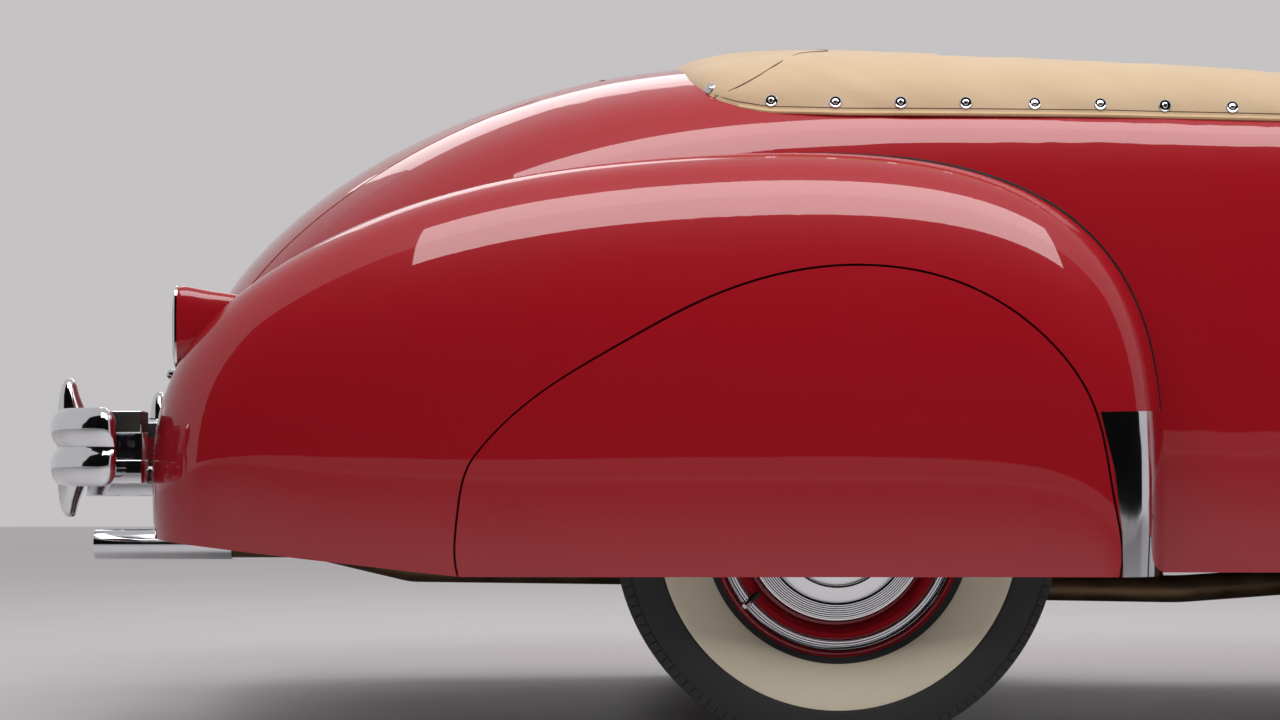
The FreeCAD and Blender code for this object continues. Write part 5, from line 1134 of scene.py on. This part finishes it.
class Trim:
    """Small bright pieces: door handles and the instruments."""

    def build(self) -> None:
        """Adds every small piece to the body that carries it."""
        for side in Side:
            handle = Shape("door_handle_" + side.word, [CHROME])
            y = side.value
            skin_y = self.reach("door_" + side.word, 1105.0, 985.0, y)
            front, back = at(1115.0, y * skin_y, 985.0), at(1235.0, y * skin_y, 985.0)
            out = Vector((0.0, y * 0.034, 0.0))
            line = smooth_line([front, front + out * 0.9, front + out + Vector((0.03, 0.0, 0.0)), back + out,
                                back + out * 0.8 + Vector((0.02, 0.0, 0.0))], 4)
            handle.loft(tube_rings(line, 6.5, 12), CHROME)
            piece = handle.done()
            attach(piece, "door_" + side.word)
        dials = Shape("instruments", [CHROME, DIAL])
        axis = Vector((-1.0, 0.0, 0.0))
        for y, radius in ((370.0, 62.0), (240.0, 38.0), (500.0, 38.0), (-300.0, 48.0)):
            face = at(1860.0, y, 930.0)
            dials.turned(((radius, 0.0), (radius, 6.0), (radius - 3.0, 8.0), (radius - 6.0, 5.0),
                          (radius - 6.0, 1.0)),
                         face, axis, 40, CHROME)
            dials.turned(((radius - 5.5, 0.0), (radius - 5.5, 2.0), (0.0, 2.0)), face, axis, 40, DIAL)
            dials.rod(face + axis * 0.003, face + axis * 0.003 + Vector((0.0, 0.012, radius * 0.0007)), 1.0,
                      CHROME)
        piece = dials.done()
        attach(piece, "body")

    def reach(self, node: str, s: float, z: float, sign: float) -> float:
        """How far from the centre line a panel's side is at a station and height, in millimetres."""
        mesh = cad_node(node).data
        tree = BVHTree.FromPolygons([vert.co for vert in mesh.vertices],
                                    [tuple(face.vertices) for face in mesh.polygons])
        place, _, _, _ = tree.ray_cast(at(s, sign * 1200.0, z), Vector((0.0, -sign, 0.0)))
        return abs(place.y) / MM


# ---- studio --------------------------------------------------------------------------------------

@dataclass
class Studio:
    """Camera, soft lights and a pale floor."""

    camera_s: float = -404.0
    camera_y: float = -5.4
    camera_z: float = 0.505
    lens: float = 75.26
    shift_x: float = 0.03125
    shift_y: float = 0.0758
    floor_half: float = 14.0

    def build(self) -> None:
        """Makes the camera, the lights, the world and the floor."""
        data = bpy.data.cameras.new("camera")
        data.lens = self.lens
        data.sensor_width = 36.0
        data.shift_x = self.shift_x
        data.shift_y = self.shift_y
        camera = bpy.data.objects.new("camera", data)
        camera.location = (REAR_AXLE_X + self.camera_s * MM, self.camera_y, self.camera_z)
        camera.rotation_euler = (math.pi / 2.0, 0.0, 0.0)
        bpy.context.scene.collection.objects.link(camera)
        bpy.context.scene.camera = camera
        self.light("overhead", (REAR_AXLE_X + 0.2, -2.2, 3.2), (math.radians(25.0), 0.0, 0.0), 4.0, 1.7,
                   105.0)
        self.light("far", (REAR_AXLE_X + 0.5, 3.2, 3.6), (math.radians(-35.0), 0.0, 0.0), 6.0, 1.6, 50.0)
        self.world()
        self.floor()
        self.flag()

    def light(self, name: str, place: tuple, turn: tuple, width: float, depth: float, power: float) -> None:
        """Adds one rectangular soft light."""
        data = bpy.data.lights.new(name, "AREA")
        data.shape = "RECTANGLE"
        data.size = width
        data.size_y = depth
        data.energy = power
        lamp = bpy.data.objects.new(name, data)
        lamp.location = place
        lamp.rotation_euler = turn
        bpy.context.scene.collection.objects.link(lamp)

    def world(self) -> None:
        """Gives the surroundings an even pale grey."""
        world = bpy.data.worlds.new("studio")
        world.use_nodes = True
        background = world.node_tree.nodes["Background"]
        background.inputs["Color"].default_value = linear("#DAD7D9")
        background.inputs["Strength"].default_value = 0.8
        bpy.context.scene.world = world
        bpy.context.scene.view_settings.view_transform = "Standard"

    def flag(self) -> None:
        """Stands a dark flag behind the camera, so that the flanks reflect a dark studio."""
        bm = bmesh.new()
        bmesh.ops.create_grid(bm, x_segments=1, y_segments=1, size=1.0,
                              matrix=Matrix.Translation((0.0, -7.6, 6.2))
                              @ Matrix.Rotation(math.pi / 2.0, 4, "X")
                              @ Matrix.Diagonal((16.0, 6.0, 1.0, 1.0)))
        cloth = Finish("black_flag_cloth", "#0C0C0D", "#101011", roughness=0.95, specular=0.1, grain_mm=500.0)
        flag = finish_mesh("flag", bm, [cloth.material()])
        flag.visible_camera = False

    def floor(self) -> None:
        """Lays the pale floor."""
        bm = bmesh.new()
        bmesh.ops.create_grid(bm, x_segments=1, y_segments=1, size=self.floor_half)
        ground = Finish("studio_floor", "#D9D6D7", "#D4D1D2", roughness=0.45, grain_mm=900.0)
        finish_mesh("floor", bm, [ground.material()])


def dress(nodes: Iterable[str], finish: Finish) -> None:
    """Gives CAD nodes that stay a finish."""
    for node in nodes:
        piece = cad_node(node)
        piece.data.materials.clear()
        piece.data.materials.append(finish.material())


def painted_panels() -> None:
    """Lays every painted panel on its skin, with the welting between the rear fenders and the body."""
    hull = Skin(hull_cage())
    for name in ("hood", "trunk_lid"):
        Panel(name, body_of(name), [hull], inner=ENAMEL).build()
    for name in ("cowl", "front_panel", "rear_deck"):
        Panel(name, "body", [hull]).build()
    Panel("floor_pan", "body", [hull], inner=CARPET).build()
    for side in Side:
        for name in ("door_", "quarter_panel_"):
            Panel(name + side.word, body_of(name + side.word), [hull], inner=LEATHER).build()
        rear = Skin(fender_cage(REAR_FENDER_ROWS, side))
        front = Skin(fender_cage(FRONT_FENDER_ROWS, side))
        for name, skin in (("rear_fender_", rear), ("fender_skirt_", rear), ("front_fender_", front)):
            Panel(name + side.word, "body", [skin], pitch=0.05).build()
        Welting(side, rear, hull).build()


def main() -> None:
    """Builds the looks in order."""
    logging.basicConfig(level=logging.INFO)
    Studio().build()
    painted_panels()
    Boot().build()
    for place in ("front", "rear"):
        for side in Side:
            Tyre(f"tyre_{place}_{side.word}").build()
            Wheel(f"wheel_{place}_{side.word}").build()
    Bumper("rear_bumper", -1398.0, -1.0,
           ((0.0, -1362.0), (300.0, -1359.0), (560.0, -1349.0), (740.0, -1332.0), (835.0, -1300.0),
            (868.0, -1258.0), (876.0, -1222.0)), 500.0).build()
    Bumper("front_bumper", 4076.0, 1.0,
           ((0.0, 4040.0), (300.0, 4038.0), (560.0, 4033.0), (760.0, 4022.0), (875.0, 3994.0),
            (922.0, 3952.0), (934.0, 3886.0)), 420.0).build()
    TailLamps().build()
    HeadLamps().build()
    Bench("front_seat", ((955.0, -575.0, 600.0), (1490.0, 575.0, 760.0)),
          ((812.0, -575.0, 600.0), (965.0, 575.0, 1212.0)),
          ((890.0, -540.0, 449.0), (1430.0, 540.0, 640.0))).build()
    Bench("rear_seat", ((190.0, -520.0, 659.0), (690.0, 520.0, 800.0)),
          ((60.0, -560.0, 659.0), (210.0, 560.0, 1105.0)),
          ((200.0, -340.0, 659.0), (640.0, 340.0, 700.0))).build()
    Trim().build()
    dress(["frame_rails", "cross_members", "wheelhouses", "radiator", "driveshaft", "rear_axle",
           "leaf_springs", "front_suspension", "fuel_tank", "knuckle_left", "knuckle_right"], CHASSIS)
    dress(["grille", "windscreen_frame", "exhaust_tip", "stone_guards"], CHROME)
    dress(["dashboard"], ENAMEL)
    dress(["windscreen_glass"], GLASS)
    dress(["steering_wheel"], IVORY)
    dress(["engine"], ENGINE_PAINT)
    dress(["exhaust"], EXHAUST_STEEL)


if __name__ == "__main__":
    main()
